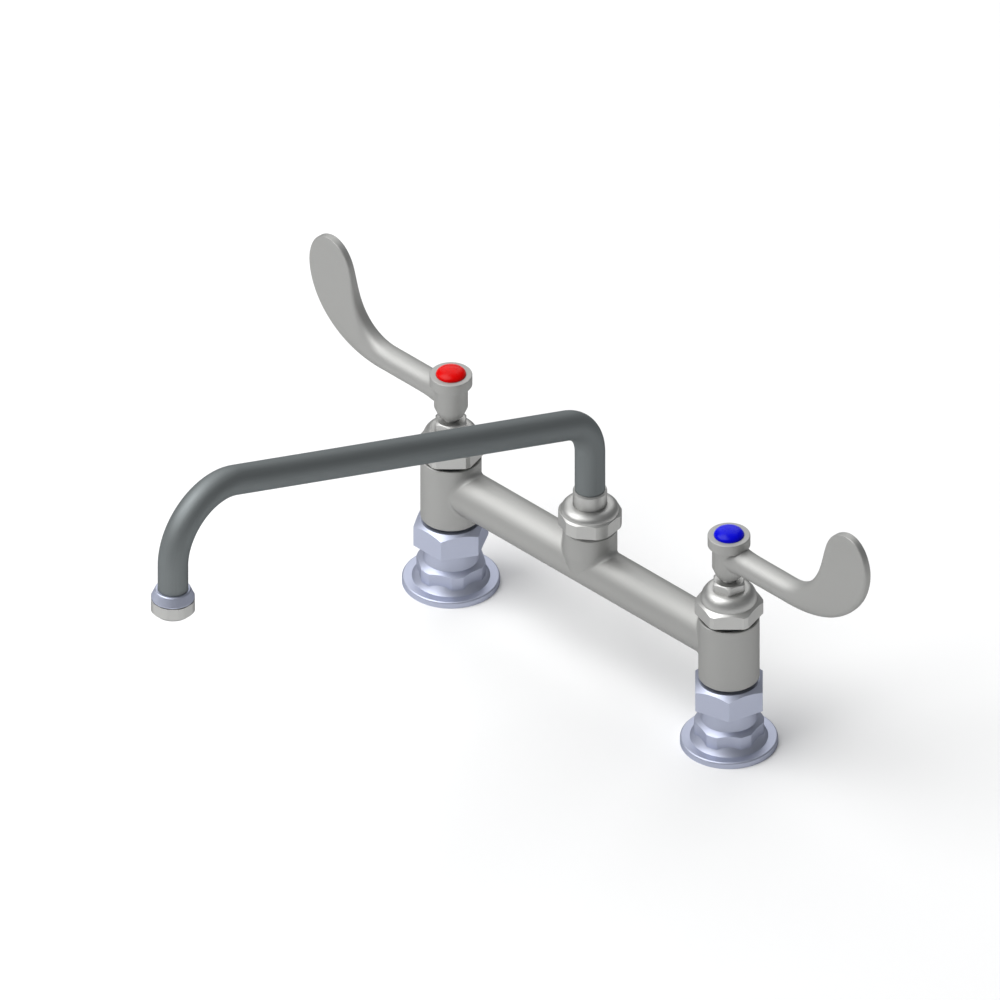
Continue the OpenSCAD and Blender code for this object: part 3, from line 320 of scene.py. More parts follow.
def surface(name, grid, closed_rows=False, uv_scale=None, sharp=40.0):
    """A closed piece from a grid of points, rows along a path and columns round it.
    Open rows are closed by a cap at each end, and a piece whose volume comes out
    negative is turned round. With uv_scale, a UV map holds the way round the piece and
    along it, in metres."""
    rows, cols = grid.shape[:2]
    points = grid.reshape(-1, 3)
    quads, steps = grid_faces(rows, cols, closed_rows)
    around = np.arange(cols)
    caps = [] if closed_rows else [around[::-1], around + (rows - 1) * cols]
    fans = [np.stack([np.full(cols - 2, c[0]), c[1:-1], c[2:], c[2:]], axis=-1) for c in caps]
    if signed_volume(points, np.concatenate([quads, *fans])) < 0:
        quads, steps, caps = quads[:, ::-1], steps[:, ::-1], [c[::-1] for c in caps]
    mesh = bpy.data.meshes.new(name)
    mesh.from_pydata(points.tolist(), [], quads.tolist() + [c.tolist() for c in caps])
    if uv_scale:
        layer = mesh.uv_layers.new(name="along")
        uv = np.zeros((len(mesh.loops), 2), np.float32)
        uv[:quads.size] = steps.reshape(-1, 2) * (uv_scale[0] / cols, uv_scale[1] / rows)
        layer.data.foreach_set("uv", uv.ravel())
    return finished(name, mesh, sharp)


def finished(name, mesh, sharp):
    """The object of a mesh, shaded smooth with its edges sharp past an angle."""
    mesh.validate()
    mesh.shade_smooth()
    mesh.set_sharp_from_angle(angle=math.radians(sharp))
    piece = bpy.data.objects.new(name, mesh)
    bpy.context.scene.collection.objects.link(piece)
    return piece


def place(piece, body, slot, *nodes, finish=None):
    """Puts a finish on a piece, its slot's own if none is given, and says what it rides
    on and stands for."""
    piece.data.materials.clear()
    piece.data.materials.append(finish or finish_of(slot))
    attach(piece, body)
    if nodes:
        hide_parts(*nodes)


def flats(count, af, corner_r, start, step=2.5, clear=0.4):
    """Turns round the axis and the radius at each, for a prism turned down at its
    corners: min(corner, half / cos d), where d is the turn away from the nearest flat.
    The turns at which the flats end are among the even ones, which are step degrees
    apart and keep clear of them, so that each edge is straight."""
    part, half = 2 * math.pi / count, af / 2
    ends = [start + part * (k + 0.5) + way * math.acos(half / corner_r)
            for k in range(count) for way in (-1, 1)]
    even = np.arange(0, 360, step) * math.pi / 180
    gap = np.abs((even[:, None] - np.array(ends) + math.pi) % (2 * math.pi) - math.pi)
    t = np.sort(np.concatenate([even[gap.min(axis=1) > math.radians(clear)],
                                np.mod(ends, 2 * math.pi)]))
    return t, np.minimum(corner_r, half / np.cos((t - start) % part - part / 2))


def spun(t, rows, centre):
    """Grid of a turned piece, (cx + r cos t, cy + r sin t, z): each row is a radius and
    a height, the same all round or given for every turn t."""
    grid = [(centre[0] + r * np.cos(t), centre[1] + r * np.sin(t), z + 0 * t) for r, z in rows]
    return np.stack(grid).transpose(0, 2, 1)


def lathe(rows, centre, sides=96):
    """Grid of a turned piece that is round all over, at even turns."""
    return spun(np.linspace(0, 2 * math.pi, sides, endpoint=False), rows, centre)


def chamfer(r, top_r, top):
    """Row where the walls of a hexagon of radii r meet its chamfer, which falls from
    the flat top by CHAMFER of the way out."""
    return r, top - (r - top_r) * CHAMFER


def dome(foot_r, top_r, foot, top, steps=24):
    """Rows of a quarter ellipse that rises from a foot radius to a top radius:
    (top_r + (foot_r - top_r) cos a, foot + (top - foot) sin a)."""
    return [(top_r + (foot_r - top_r) * math.cos(a), foot + (top - foot) * math.sin(a))
            for a in np.linspace(0, math.pi / 2, steps + 1)]


def walk(headings, lengths):
    """Out and up along a line whose steps have given lengths and turn from heading to
    heading: a step of length l that turns by 2h is a chord of length l sin(h) / h."""
    half = np.diff(headings) / 2
    chord, middle = lengths * np.sinc(half / math.pi), headings[:-1] + half
    return (np.concatenate([[0], np.cumsum(chord * np.cos(middle))]),
            np.concatenate([[0], np.cumsum(chord * np.sin(middle))]))


def sweep(points, normals, binormals, section):
    """A section (two columns, across and beside) carried along a line of points: each
    ring is point + across * normal + beside * binormal."""
    return (points[:, None, :] + section[..., :1] * normals[:, None, :]
            + section[..., 1:] * binormals[:, None, :])


def add(tree, kind, inputs=(), **settings):
    """Adds a node with its settings. An input is a value or the socket it is fed from."""
    node = tree.nodes.new(kind)
    for key, value in settings.items():
        setattr(node, key, value)
    for key, value in dict(inputs).items():
        if isinstance(value, bpy.types.NodeSocket):
            tree.links.new(value, node.inputs[key])
        else:
            node.inputs[key].default_value = value
    return node


def begin(name, **constants):
    """A material with one Principled shader, whose constants sit on its own sockets,
    with its node tree and shader, or with None for both if it was there already."""
    found = bpy.data.materials.get(name)
    if found:
        return found, None, None
    made = bpy.data.materials.new(name)
    made.use_nodes = True
    tree = made.node_tree
    shader = tree.nodes["Principled BSDF"]
    for key, value in constants.items():
        shader.inputs[key.replace("_", " ")].default_value = value
    return made, tree, shader


def grain(tree, shader, source, mm, tone, rough, height):
    """Noise whose marks have the sizes mm, in millimetres along the three axes of
    source. It darkens the colour by up to tone, moves the roughness between two values
    and the surface by height, in metres."""
    tint = tuple(shader.inputs["Base Color"].default_value)
    mapped = add(tree, "ShaderNodeMapping",
                 {"Vector": source, "Scale": tuple(1000 / size for size in mm)})
    noise = add(tree, "ShaderNodeTexNoise", {"Vector": mapped.outputs[0], "Scale": 1.0,
                                             "Detail": 3.0, "Roughness": 0.55})
    fac = noise.outputs["Fac"]
    # Inputs 6 and 7 and output 2 are the node's colours
    dark = (*(c * (1 - tone) for c in tint[:3]), 1.0)
    mix = add(tree, "ShaderNodeMix", {"Factor": fac, 6: dark, 7: tint}, data_type="RGBA")
    tree.links.new(mix.outputs[2], shader.inputs["Base Color"])
    ramp = add(tree, "ShaderNodeMapRange", {"Value": fac, "From Min": 0.3, "From Max": 0.7,
                                            "To Min": rough[0], "To Max": rough[1]})
    tree.links.new(ramp.outputs[0], shader.inputs["Roughness"])
    bump = add(tree, "ShaderNodeBump", {"Height": fac, "Distance": height, "Strength": 1.0})
    tree.links.new(bump.outputs[0], shader.inputs["Normal"])


def grained(name, tint, mm, tone, rough, height, along=False, **constants):
    """The material of that name, made with its grain the first time it is asked for.
    The grain follows the CAD frame in metres, or the piece's UV map "along"."""
    made, tree, shader = begin(name, Base_Color=(*tint[:3], 1.0), **constants)
    if tree:
        if along:
            source = add(tree, "ShaderNodeUVMap", uv_map="along").outputs[0]
        else:
            source = add(tree, "ShaderNodeTexCoord").outputs["Object"]
        grain(tree, shader, source, mm, tone, rough, height)
    return made


# Most grains are finer in reality than a pixel of the render, 0.5 mm, and are drawn as
# coarse as they need to show. Each docstring gives the real size first.


def satin_plating():
    """Chrome over a bead-blasted casting: a soft grey sheen with a very fine grain.
    The beads leave pits of 0.1 mm, drawn 0.6 mm wide."""
    return grained("satin chrome on cast brass", bpy.context.scene.faucet_finishes.satin,
                   mm=(0.625, 0.625, 0.625), tone=0.05, rough=(0.58, 0.64), height=5e-6,
                   Metallic=0.9, Specular_Tint=OUTLINE_SHADE)


def turned_plating():
    """Satin chrome over turned brass: lighter than on the castings, with the fine
    marks of the lathe round the axis. A feed of 0.1 mm is drawn as marks 0.3 mm high."""
    return grained("satin chrome on turned brass", bpy.context.scene.faucet_finishes.turned,
                   mm=(2.2727, 2.2727, 0.30303), tone=0.05, rough=(0.42, 0.48), height=2e-6,
                   Metallic=0.9, Specular_Tint=OUTLINE_SHADE)


def bright_plating():
    """Chrome over turned and milled brass: cooler, smoother and brighter, with faint
    marks of the tool round the axis. A feed of 0.1 mm is drawn as marks 0.4 mm high."""
    return grained("bright chrome on machined brass", bpy.context.scene.faucet_finishes.bright,
                   mm=(2.7778, 2.7778, 0.37037), tone=0.04, rough=(0.44, 0.50), height=1e-6,
                   Metallic=0.85, Specular_Tint=OUTLINE_SHADE)


def drawn_tube():
    """Chrome over drawn tube: a darker, even grey with faint lines that run along it.
    The die leaves lines 0.05 mm apart, drawn 0.7 mm apart and 33 mm long."""
    return grained("chrome on drawn tube", bpy.context.scene.faucet_finishes.tube,
                   mm=(0.66667, 33.333, 0.66667), tone=0.08, rough=(0.58, 0.66), height=2e-6,
                   along=True, Metallic=0.9, Specular_Tint=OUTLINE_SHADE)


def turned_brass():
    """Bare turned brass: warm, with rings left by the tool. A feed of 0.15 mm is drawn
    as rings 0.36 mm high."""
    return grained("turned brass", linear("#B89A54"), mm=(7.143, 7.143, 0.3571), tone=0.12,
                   rough=(0.28, 0.4), height=8e-6, Metallic=1.0)


def screw_steel():
    """Stainless screw: neutral grey, finely turned. A feed of 0.1 mm is drawn as rings
    0.37 mm high."""
    return grained("stainless steel", linear("#A9ABAE"), mm=(3.704, 3.704, 0.3704), tone=0.08,
                   rough=(0.25, 0.35), height=6e-6, Metallic=1.0)


def nitrile():
    """Black moulded rubber with a dull bloom, whose specks of 0.2 mm are drawn 0.8 mm
    wide."""
    return grained("nitrile rubber", linear("#26282A"), mm=(0.8333, 0.8333, 0.8333), tone=0.2,
                   rough=(0.6, 0.8), height=2e-5)


def vulcanised_fibre():
    """Pressed red fibre: matt and slightly mottled. Its layers of 0.1 mm are drawn
    0.3 mm thick, with flecks 1.25 mm wide."""
    return grained("vulcanised fibre", linear("#8A3B2E"), mm=(1.25, 1.25, 0.3125), tone=0.3,
                   rough=(0.7, 0.9), height=3e-5)


def acetal():
    """Machined off-white plastic, slightly waxy, with the cutter's marks of 0.2 mm drawn
    1.1 mm wide."""
    return grained("white acetal", linear("#E8E6DC"), mm=(1.111, 1.111, 1.111), tone=0.06,
                   rough=(0.4, 0.5), height=5e-6, Subsurface_Weight=0.1,
                   Subsurface_Scale=0.001)


def index_plastic(name, tint):
    """Glossy moulded acrylic of an index button, with slight flow marks of the mould,
    which are 4 mm wide and drawn at that size."""
    return grained(name, tint, mm=(3.8462, 3.8462, 3.8462), tone=0.25, rough=(0.24, 0.32),
                   height=4e-5, Specular_IOR_Level=0.15)


def finish_of(slot):
    """The material of a slot of the record."""
    tints = bpy.context.scene.faucet_finishes
    if slot == "red_plastic":
        return index_plastic("red acrylic", tints.red)
    if slot == "blue_plastic":
        return index_plastic("blue acrylic", tints.blue)
    return {"satin_chrome": satin_plating, "bright_chrome": bright_plating,
            "tube_chrome": drawn_tube, "brass": turned_brass, "screw_steel": screw_steel,
            "rubber": nitrile, "fibre": vulcanised_fibre, "nylon": acetal}[slot]()


def dress(*nodes, finish=None):
    """Gives CAD nodes a finish, or that of their slot if none is given."""
    for node in nodes:
        materials = frame["nodes"][node].data.materials
        materials.clear()
        materials.append(finish or finish_of(SLOT_OF[node]))


def stand_in(node, body, grid, finish=None, slot=None):
    """Replaces a CAD node by a closed surface. Slot and finish are the node's own if none
    are given."""
    piece = surface(node + "_turned", grid, closed_rows=True, sharp=15.0)
    place(piece, body, slot or SLOT_OF[node], node, finish=finish)


class FAUCET_OT_body(bpy.types.Operator):
    """Casting of two posts, bar and boss, with smooth fillets where the bar ends"""
    bl_idname = "faucet.body"
    bl_label = "Body"

    def boss_r(self, sizes, z):
        """Radius of the boss at a height above the bar's axis: it grows along a cone
        from the bar's radius to its own."""
        foot = sizes.taper_foot
        rise = (z / sizes.boss_rise + foot) / (sizes.taper_top + foot)
        return sizes.bar_d / 2 + (sizes.boss_d - sizes.bar_d) / 2 * np.clip(rise, 0, 1)

    def fillet(self, name, sizes, centre_x, way, on_boss):
        """A ball rolls in the corner between the bar and an upright round. At angle a
        round the bar its centre is (sqrt((R + r)^2 - y^2), y, z) with
        (y, z) = (b + r)(cos a, sin a), for bar radius b, upright radius R and ball
        radius r. The fillet is the ball's arc from the bar to the upright, and a point
        under both surfaces closes each ring. On the boss r dies away as sin a."""
        bar_r = sizes.bar_d / 2
        rings, steps = 96, 16
        if on_boss:
            a = np.linspace(sizes.boss_from, math.pi - sizes.boss_from, rings + 1)
            r = sizes.fillet_r * np.sin(a)
            up = self.boss_r(sizes, (bar_r + r) * np.sin(a))
        else:
            a = np.linspace(0, 2 * math.pi, 2 * rings, endpoint=False)
            r = np.full_like(a, sizes.fillet_r)
            up = np.full_like(a, sizes.post_d / 2)
        reach = r - SINK
        y, z = (bar_r + reach) * np.cos(a), (bar_r + reach) * np.sin(a)
        centre = np.stack([np.sqrt((up + reach) ** 2 - y ** 2), y, z], axis=-1)
        to_bar = np.stack([np.zeros_like(a), -np.cos(a), -np.sin(a)], axis=-1)
        to_up = -centre * (1, 1, 0) / (up + reach)[:, None]
        opening = np.arccos((to_bar * to_up).sum(axis=-1))
        t, opening = np.linspace(0, 1, steps + 1)[None, :, None], opening[:, None, None]
        arc = centre[:, None] + r[:, None, None] * (
            np.sin((1 - t) * opening) * to_bar[:, None] + np.sin(t * opening) * to_up[:, None]
        ) / np.sin(opening)
        deep_up, deep_bar = up - 6 * SINK, bar_r - 6 * SINK
        deep = np.stack([np.sqrt(deep_up ** 2 - (deep_bar * np.cos(a)) ** 2),
                         deep_bar * np.cos(a), deep_bar * np.sin(a)], axis=-1)[:, None]
        grid = np.concatenate([arc, deep], axis=1)
        grid = grid * (way, 1, 1) + (centre_x, 0, sizes.bar_z)
        return surface(name, grid, closed_rows=not on_boss, sharp=60.0)

    def execute(self, context):
        sizes = context.scene.faucet_body
        dress("faucet_body")
        for side in SIDES:
            x = axis_of(side)
            way = -1 if x > 0 else 1
            for fillet in (self.fillet(side + "_post_fillet", sizes, x, way, False),
                           self.fillet(side + "_boss_fillet", sizes, 0.0, -way, True)):
                place(fillet, "body", SLOT_OF["faucet_body"])
        return {"FINISHED"}


class FAUCET_OT_couplings(bpy.types.Operator):
    """Inlet flanges on the deck and the coupling nuts above them"""
    bl_idname = "faucet.couplings"
    bl_label = "Couplings"

    def flange(self, s, side, top, centre):
        """Rim, step, hexagon and cone. The step has a bevel over a third of its height,
        and a flatter cone that the hexagon's corners rise from. The upper cone comes out
        of the hexagon's chamfer, at the height out_z where both have the same radius."""
        t, r = flats(6, s.af, s.corner_r, getattr(s, "turn_" + side))
        foot_r, foot_z = s.step_d / 2 - s.step_h / 3, s.thick + s.step_h / 3
        step_z = s.thick + s.step_h
        fall = (step_z - foot_z) / (foot_r - s.af / 2)
        cone_r = s.af / 2 - s.edge
        lean = (cone_r - s.neck_r) / (s.neck_z - step_z)
        out_z = (s.neck_r + s.hex_z / CHAMFER - cone_r - lean * step_z) / (1 / CHAMFER - lean)
        rim = s.d / 2 - s.edge_r
        rows = [(s.inlet_d / 2, 0.0), (s.d / 2, 0.0),
                *dome(s.d / 2, rim, s.thick - s.edge_r, s.thick, steps=10),
                (s.step_d / 2, s.thick), (foot_r, foot_z), (r, foot_z + (foot_r - r) * fall),
                chamfer(r, s.neck_r, s.hex_z), (cone_r - lean * (out_z - step_z), out_z),
                (s.neck_r, s.neck_z), (s.neck_r, top), (s.way_d / 2, top),
                (s.way_d / 2, s.inlet_l), (s.inlet_d / 2, s.inlet_l)]
        return spun(t, rows, centre)

    def nut(self, s, side, low, high, centre):
        """Hexagon with a chamfered top, a bore and a lip"""
        t, r = flats(6, s.af, s.corner_r, getattr(s, "turn_" + side))
        rows = [(s.bore_r, low), (r, low), chamfer(r, s.top_r, high), (s.top_r, high),
                (s.lip_r, high), (s.lip_r, high - s.lip_t), (s.bore_r, high - s.lip_t)]
        return spun(t, rows, centre)

    def execute(self, context):
        scene = context.scene
        for side in SIDES:
            centre = (axis_of(side), 0.0)
            node = side + "_inlet_flange"
            grid = self.flange(scene.faucet_flange, side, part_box(node)[1].z, centre)
            stand_in(node, "body", grid)
            node = side + "_coupling_nut"
            low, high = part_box(node)
            grid = self.nut(scene.faucet_nut, side, low.z, high.z, centre)
            stand_in(node, "body", grid)
            dress(side + "_coupling_ring", side + "_coupling_washer")
        return {"FINISHED"}


class FAUCET_OT_bonnets(bpy.types.Operator):
    """Bonnets with their gaskets and packing nuts"""
    bl_idname = "faucet.bonnets"
    bl_label = "Bonnets"

    def bonnet(self, s, low, high, centre):
        """Spigot, collar, hexagon and dome, with the bores of sleeve, journal and
        packing"""
        t, r = flats(6, s.af, s.corner_r, s.turn)
        foot = high - s.dome_h
        hex_z = foot - s.hex_h
        rows = [(s.sleeve_r, low), (s.spigot_r, low), (s.spigot_r, hex_z - s.seat_h),
                (s.seat_r, hex_z - s.seat_h), (s.seat_r, hex_z), (r, hex_z),
                chamfer(r, s.dome_r, foot), *dome(s.dome_r, s.dome_top_r, foot, high),
                (s.packing_r, high), (s.packing_r, high - s.packing_l),
                (s.journal_r, high - s.packing_l), (s.journal_r, low + s.sleeve_l),
                (s.sleeve_r, low + s.sleeve_l)]
        return spun(t, rows, centre)

    def packing_nut(self, s, low, high, centre):
        """Thread, hexagon and hole"""
        t, r = flats(6, s.nut_af, s.nut_corner_r, s.nut_turn)
        hex_z = high - s.nut_h
        rows = [(s.nut_bore_r, low), (s.nut_thread_r, low), (s.nut_thread_r, hex_z), (r, hex_z),
                chamfer(r, s.nut_top_r, high), (s.nut_top_r, high), (s.nut_bore_r, high)]
        return spun(t, rows, centre)

    def execute(self, context):
        sizes = context.scene.faucet_bonnet
        for side in SIDES:
            centre = (axis_of(side), 0.0)
            for node, build in ((side + "_bonnet", self.bonnet),
                                (side + "_packing_nut", self.packing_nut)):
                low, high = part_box(node)
                stand_in(node, "body", build(sizes, low.z, high.z, centre), turned_plating())
            dress(side + "_bonnet_gasket")
        return {"FINISHED"}


class FAUCET_OT_valves(bpy.types.Operator):
    """Valve pieces inside the posts"""
    bl_idname = "faucet.valves"
    bl_label = "Valves"

    def execute(self, context):
        for side in SIDES:
            dress(*(side + "_" + node for node in (
                "valve_seat", "seat_washer", "washer_screw", "plunger", "guide_sleeve",
                "spindle_oring", "packing_ring", "handle_screw")))
            dress(side + "_spindle", finish=turned_plating())
        return {"FINISHED"}


class FAUCET_OT_handles(bpy.types.Operator):
    """Wrist-blade handles: hub, head, arm and blade in one casting"""
    bl_idname = "faucet.handles"
    bl_label = "Handles"
    # Shares of the length between which the arm bends, widens and thins into the blade
    BEND, WIDEN, THIN = (0.354, 0.873), (0.315, 0.804), (0.276, 0.951)
    # Length of the rounded tip against half the blade, and its superellipse's power
    TIP_LENGTH, TIP_POWER = 1.5, 2.2
    # Heights of the hub's taper and of the hollow under its head, against their insets
    TAPER, COVE = 2.5, 0.75

    def start(self, sizes):
        """Where the centre line starts: where the arm's sides leave the hub's."""
        return math.sqrt((sizes.hub_d / 2) ** 2 - (sizes.arm_width / 2 + sizes.root) ** 2)

    def line(self, sizes, steps):
        """Centre line in the handle's plane, out and up: its heading turns evenly
        between two shares of its length and a little more up to the tip. Rings crowd
        together towards the hub and the tip, at 1 - (1 - (t + t^2) / 2)^1.5 of it."""
        t = np.linspace(0, 1, steps + 1)
        s = 1 - (1 - (t + t * t) / 2) ** 1.5
        parts = 4000
        fine = np.linspace(0, 1, parts + 1)
        low, high = self.BEND
        bend = np.clip((fine - low) / (high - low), 0, 1)
        tip = np.clip((fine - high) / (1 - high), 0, 1)
        heading = sizes.blade_turn * bend + sizes.tip_turn * tip
        out, rise = walk(heading, (sizes.line - self.start(sizes)) / parts)
        return s, np.interp(s, fine, out), np.interp(s, fine, rise), np.interp(s, fine, heading)

    def section(self, sizes, s):
        """Section at each ring: an ellipse at the hub that turns into a flat plate
        with rounded corners. Its depth grows into the blade and is rounded off at the
        tip by a superellipse, its thickness shrinks, and both grow out at the hub by a
        root that fades as exp(-distance / fade).

        A quarter of it has 24 points at u from 0 to 1. The ellipse is (d cos, t sin) of
        u / 4 of a turn. The plate's quarter runs up its narrow side until u is 1/6,
        round a corner until 1/2, and then along its flat side."""
        def ease(low, high):
            t = np.clip((s - low) / (high - low), 0, 1)
            return t * t * (3 - 2 * t)

        # The last ring stops just short of a point
        tip = self.TIP_LENGTH * sizes.blade_w / 2
        past = np.clip(1 - (1 - s) * sizes.line / tip, 0, 0.99999)
        wide, thin = ease(*self.WIDEN), ease(*self.THIN)
        depth = (sizes.arm_depth + (sizes.blade_w - sizes.arm_depth) * wide) / 2
        depth = depth * (1 - past ** self.TIP_POWER) ** (1 / self.TIP_POWER)
        thick = (sizes.arm_width + (sizes.blade_t - sizes.arm_width) * thin) / 2
        start = self.start(sizes)
        far = s * (sizes.line - start)
        clear = np.clip(far - (sizes.hub_d / 2 - start), 0, None)
        depth = depth + sizes.root * np.exp(-clear / sizes.root_fade)
        thick = thick + sizes.root * np.exp(-far / sizes.root_fade)
        flat = thin[:, None]
        u = np.linspace(0, 1, 24, endpoint=False)[None, :]
        d, t = depth[:, None], thick[:, None]
        r = np.minimum(d, t) / 2
        corner = np.pi / 2 * np.clip((u - 1 / 6) * 3, 0, 1)
        along = np.clip((u - 0.5) * 2, 0, 1)
        plate_d = (d - r + r * np.cos(corner)) * (1 - along)
        plate_t = (t - r) * np.clip(u * 6, 0, 1) + r * np.sin(corner)
        quarter_d = flat * plate_d + (1 - flat) * d * np.cos(np.pi / 2 * u)
        quarter_t = flat * plate_t + (1 - flat) * t * np.sin(np.pi / 2 * u)
        top = np.zeros_like(d)
        upper = np.concatenate([quarter_d, top, -quarter_d[:, :0:-1]], axis=1)
        beside = np.concatenate([quarter_t, t, quarter_t[:, :0:-1]], axis=1)
        return np.stack([np.concatenate([upper, -upper], axis=1),
                         np.concatenate([beside, -beside], axis=1)], axis=-1)

    def hub(self, side, sizes, centre, z):
        """Profile of hub and head carried round the post's axis, with the socket below,
        the screw's well and the button's seat above."""
        hub_r, head_r, foot_r = sizes.hub_d / 2, sizes.head_d / 2, sizes.foot_d / 2
        edge, well_r, screw_r = sizes.edge, sizes.well_d / 2, sizes.screw_d / 2
        taper = (hub_r - foot_r) * self.TAPER
        head = z + sizes.hub_h
        top = head + sizes.head_h
        step = head_r - hub_r
        low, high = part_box(side + "_index_button")
        seat_r, seat_z = (high.x - low.x) / 2 + GAP, low.z
        well_z = head - edge
        web_z = well_z - sizes.web
        hollow_z = head - step / 2
        profile = [(sizes.bore_d / 2, z), (foot_r - sizes.foot_edge, z),
                   (foot_r, z + sizes.foot_edge), (hub_r, z + taper),
                   *dome(hub_r, head_r, hollow_z, hollow_z + self.COVE * step, steps=6),
                   *dome(head_r, head_r - edge, top - edge, top, steps=6),
                   (seat_r, top), (seat_r, seat_z), (well_r, seat_z), (well_r, well_z),
                   (screw_r, well_z), (screw_r, web_z), (sizes.bore_d / 2, web_z)]
        return surface(side + "_casting", lathe(profile, centre), closed_rows=True, sharp=25.0)

    def execute(self, context):
        sizes = context.scene.faucet_handle
        s, out, rise, heading = self.line(sizes, steps=160)
        section = self.section(sizes, s)
        out = out + self.start(sizes)
        for side in SIDES:
            node = side + "_handle"
            x = axis_of(side)
            way = 1 if x > 0 else -1
            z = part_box(node)[0].z
            points = np.stack([x + way * out, np.zeros_like(out), rise + z + sizes.arm_rise],
                              axis=-1)
            normals = np.stack([-way * np.sin(heading), np.zeros_like(out), np.cos(heading)],
                               axis=-1)
            beside = np.broadcast_to(np.array([0.0, 1.0, 0.0]), normals.shape)
            arm = surface(side + "_arm", sweep(points, normals, beside, section))
            hub = self.hub(side, sizes, (x, 0.0), z)
            joined = hub.modifiers.new("join", "BOOLEAN")
            joined.operation, joined.solver, joined.object = "UNION", "EXACT", arm
            seen = hub.evaluated_get(context.evaluated_depsgraph_get())
            mesh = bpy.data.meshes.new_from_object(seen)
            for spare in (arm, hub):
                bpy.data.objects.remove(spare)
            if not mesh.polygons:
                raise RuntimeError("the hub and the arm of " + node + " couldn't be joined")
            piece = finished(side + "_blade_handle", mesh, sharp=32.0)
            place(piece, node, SLOT_OF[node], node)
        return {"FINISHED"}


class FAUCET_OT_buttons(bpy.types.Operator):
    """Coloured index buttons: red for hot, blue for cold"""
    bl_idname = "faucet.buttons"
    bl_label = "Index buttons"

    def execute(self, context):
        sizes = context.scene.faucet_button
        for side in SIDES:
            node = side + "_index_button"
            low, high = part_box(node)
            r, centre = (high.x - low.x) / 2, ((low.x + high.x) / 2, 0.0)
            foot = high.z - sizes.dome_h
            # The poles are closed by caps of this radius
            pole = 1e-5
            profile = [(pole, low.z), (r - sizes.edge, low.z), (r, low.z + sizes.edge),
                       *dome(r, 0.0, foot, high.z)[:-1], (pole, high.z)]
            piece = surface(side + "_index", lathe(profile, centre), sharp=30.0)
            place(piece, side + "_handle", SLOT_OF[node], node)
        return {"FINISHED"}


class FAUCET_OT_spout(bpy.types.Operator):
    """Spout tube: riser, bend, sloping run, bend and leg, open at both ends"""
    bl_idname = "faucet.spout"
    bl_label = "Spout tube"

    def line(self, sizes, reach, foot_z):
        """The centre line, out and up: straight runs and arcs that meet on tangents,
        sampled by length, with the heading at each point."""
        slope = sizes.slope
        near_turn, far_turn = math.pi / 2 - slope, math.pi / 2 + slope
        near_t = sizes.near_r * math.tan(near_turn / 2)
        far_t = sizes.far_r * math.tan(far_turn / 2)
        riser = sizes.apex_z - near_t - foot_z
        run = reach / math.cos(slope) - near_t - far_t
        spans = [(riser, 0.0), (sizes.near_r * near_turn, -near_turn), (run, 0.0),
                 (sizes.far_r * far_turn, -far_turn), (sizes.leg, 0.0)]
        headings, lengths, heading = [np.array([math.pi / 2])], [], math.pi / 2
        for span, bend in spans:
            # 48 rings round a bend, and one for each 6 mm of a straight run
            steps = 48 if bend else max(2, round(span / 0.006))
            headings.append(heading + bend * np.arange(1, steps + 1) / steps)
            lengths.append(np.full(steps, span / steps))
            heading += bend
        headings = np.concatenate(headings)
        out, up = walk(headings, np.concatenate(lengths))
        return out, up + foot_z, headings

    def execute(self, context):
        sizes = context.scene.faucet_spout
        low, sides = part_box("spout_tube")[0], 72
        out, up, heading = self.line(sizes, -low.y - sizes.tube_d / 2, low.z)
        points = np.stack([np.zeros_like(out), -out, up], axis=-1)
        normals = np.stack([np.zeros_like(out), np.sin(heading), np.cos(heading)], axis=-1)
        beside = np.broadcast_to(np.array([1.0, 0.0, 0.0]), normals.shape)
        t = np.linspace(0, 2 * math.pi, sides, endpoint=False)
        ring = np.stack([np.cos(t), np.sin(t)], axis=-1)
        skins = [sweep(points, normals, beside, r * ring[None])
                 for r in (sizes.tube_d / 2, sizes.tube_d / 2 - sizes.wall)]
        grid = np.concatenate([skins[0], skins[1][::-1]])
        # The rows go 0.45 m out along the outside and back along the inside
        uv_scale = (math.pi * sizes.tube_d, 0.9)
        piece = surface("spout_tube_smooth", grid, closed_rows=True, uv_scale=uv_scale,
                        sharp=60.0)
        place(piece, "spout", SLOT_OF["spout_tube"], "spout_tube")
        return {"FINISHED"}


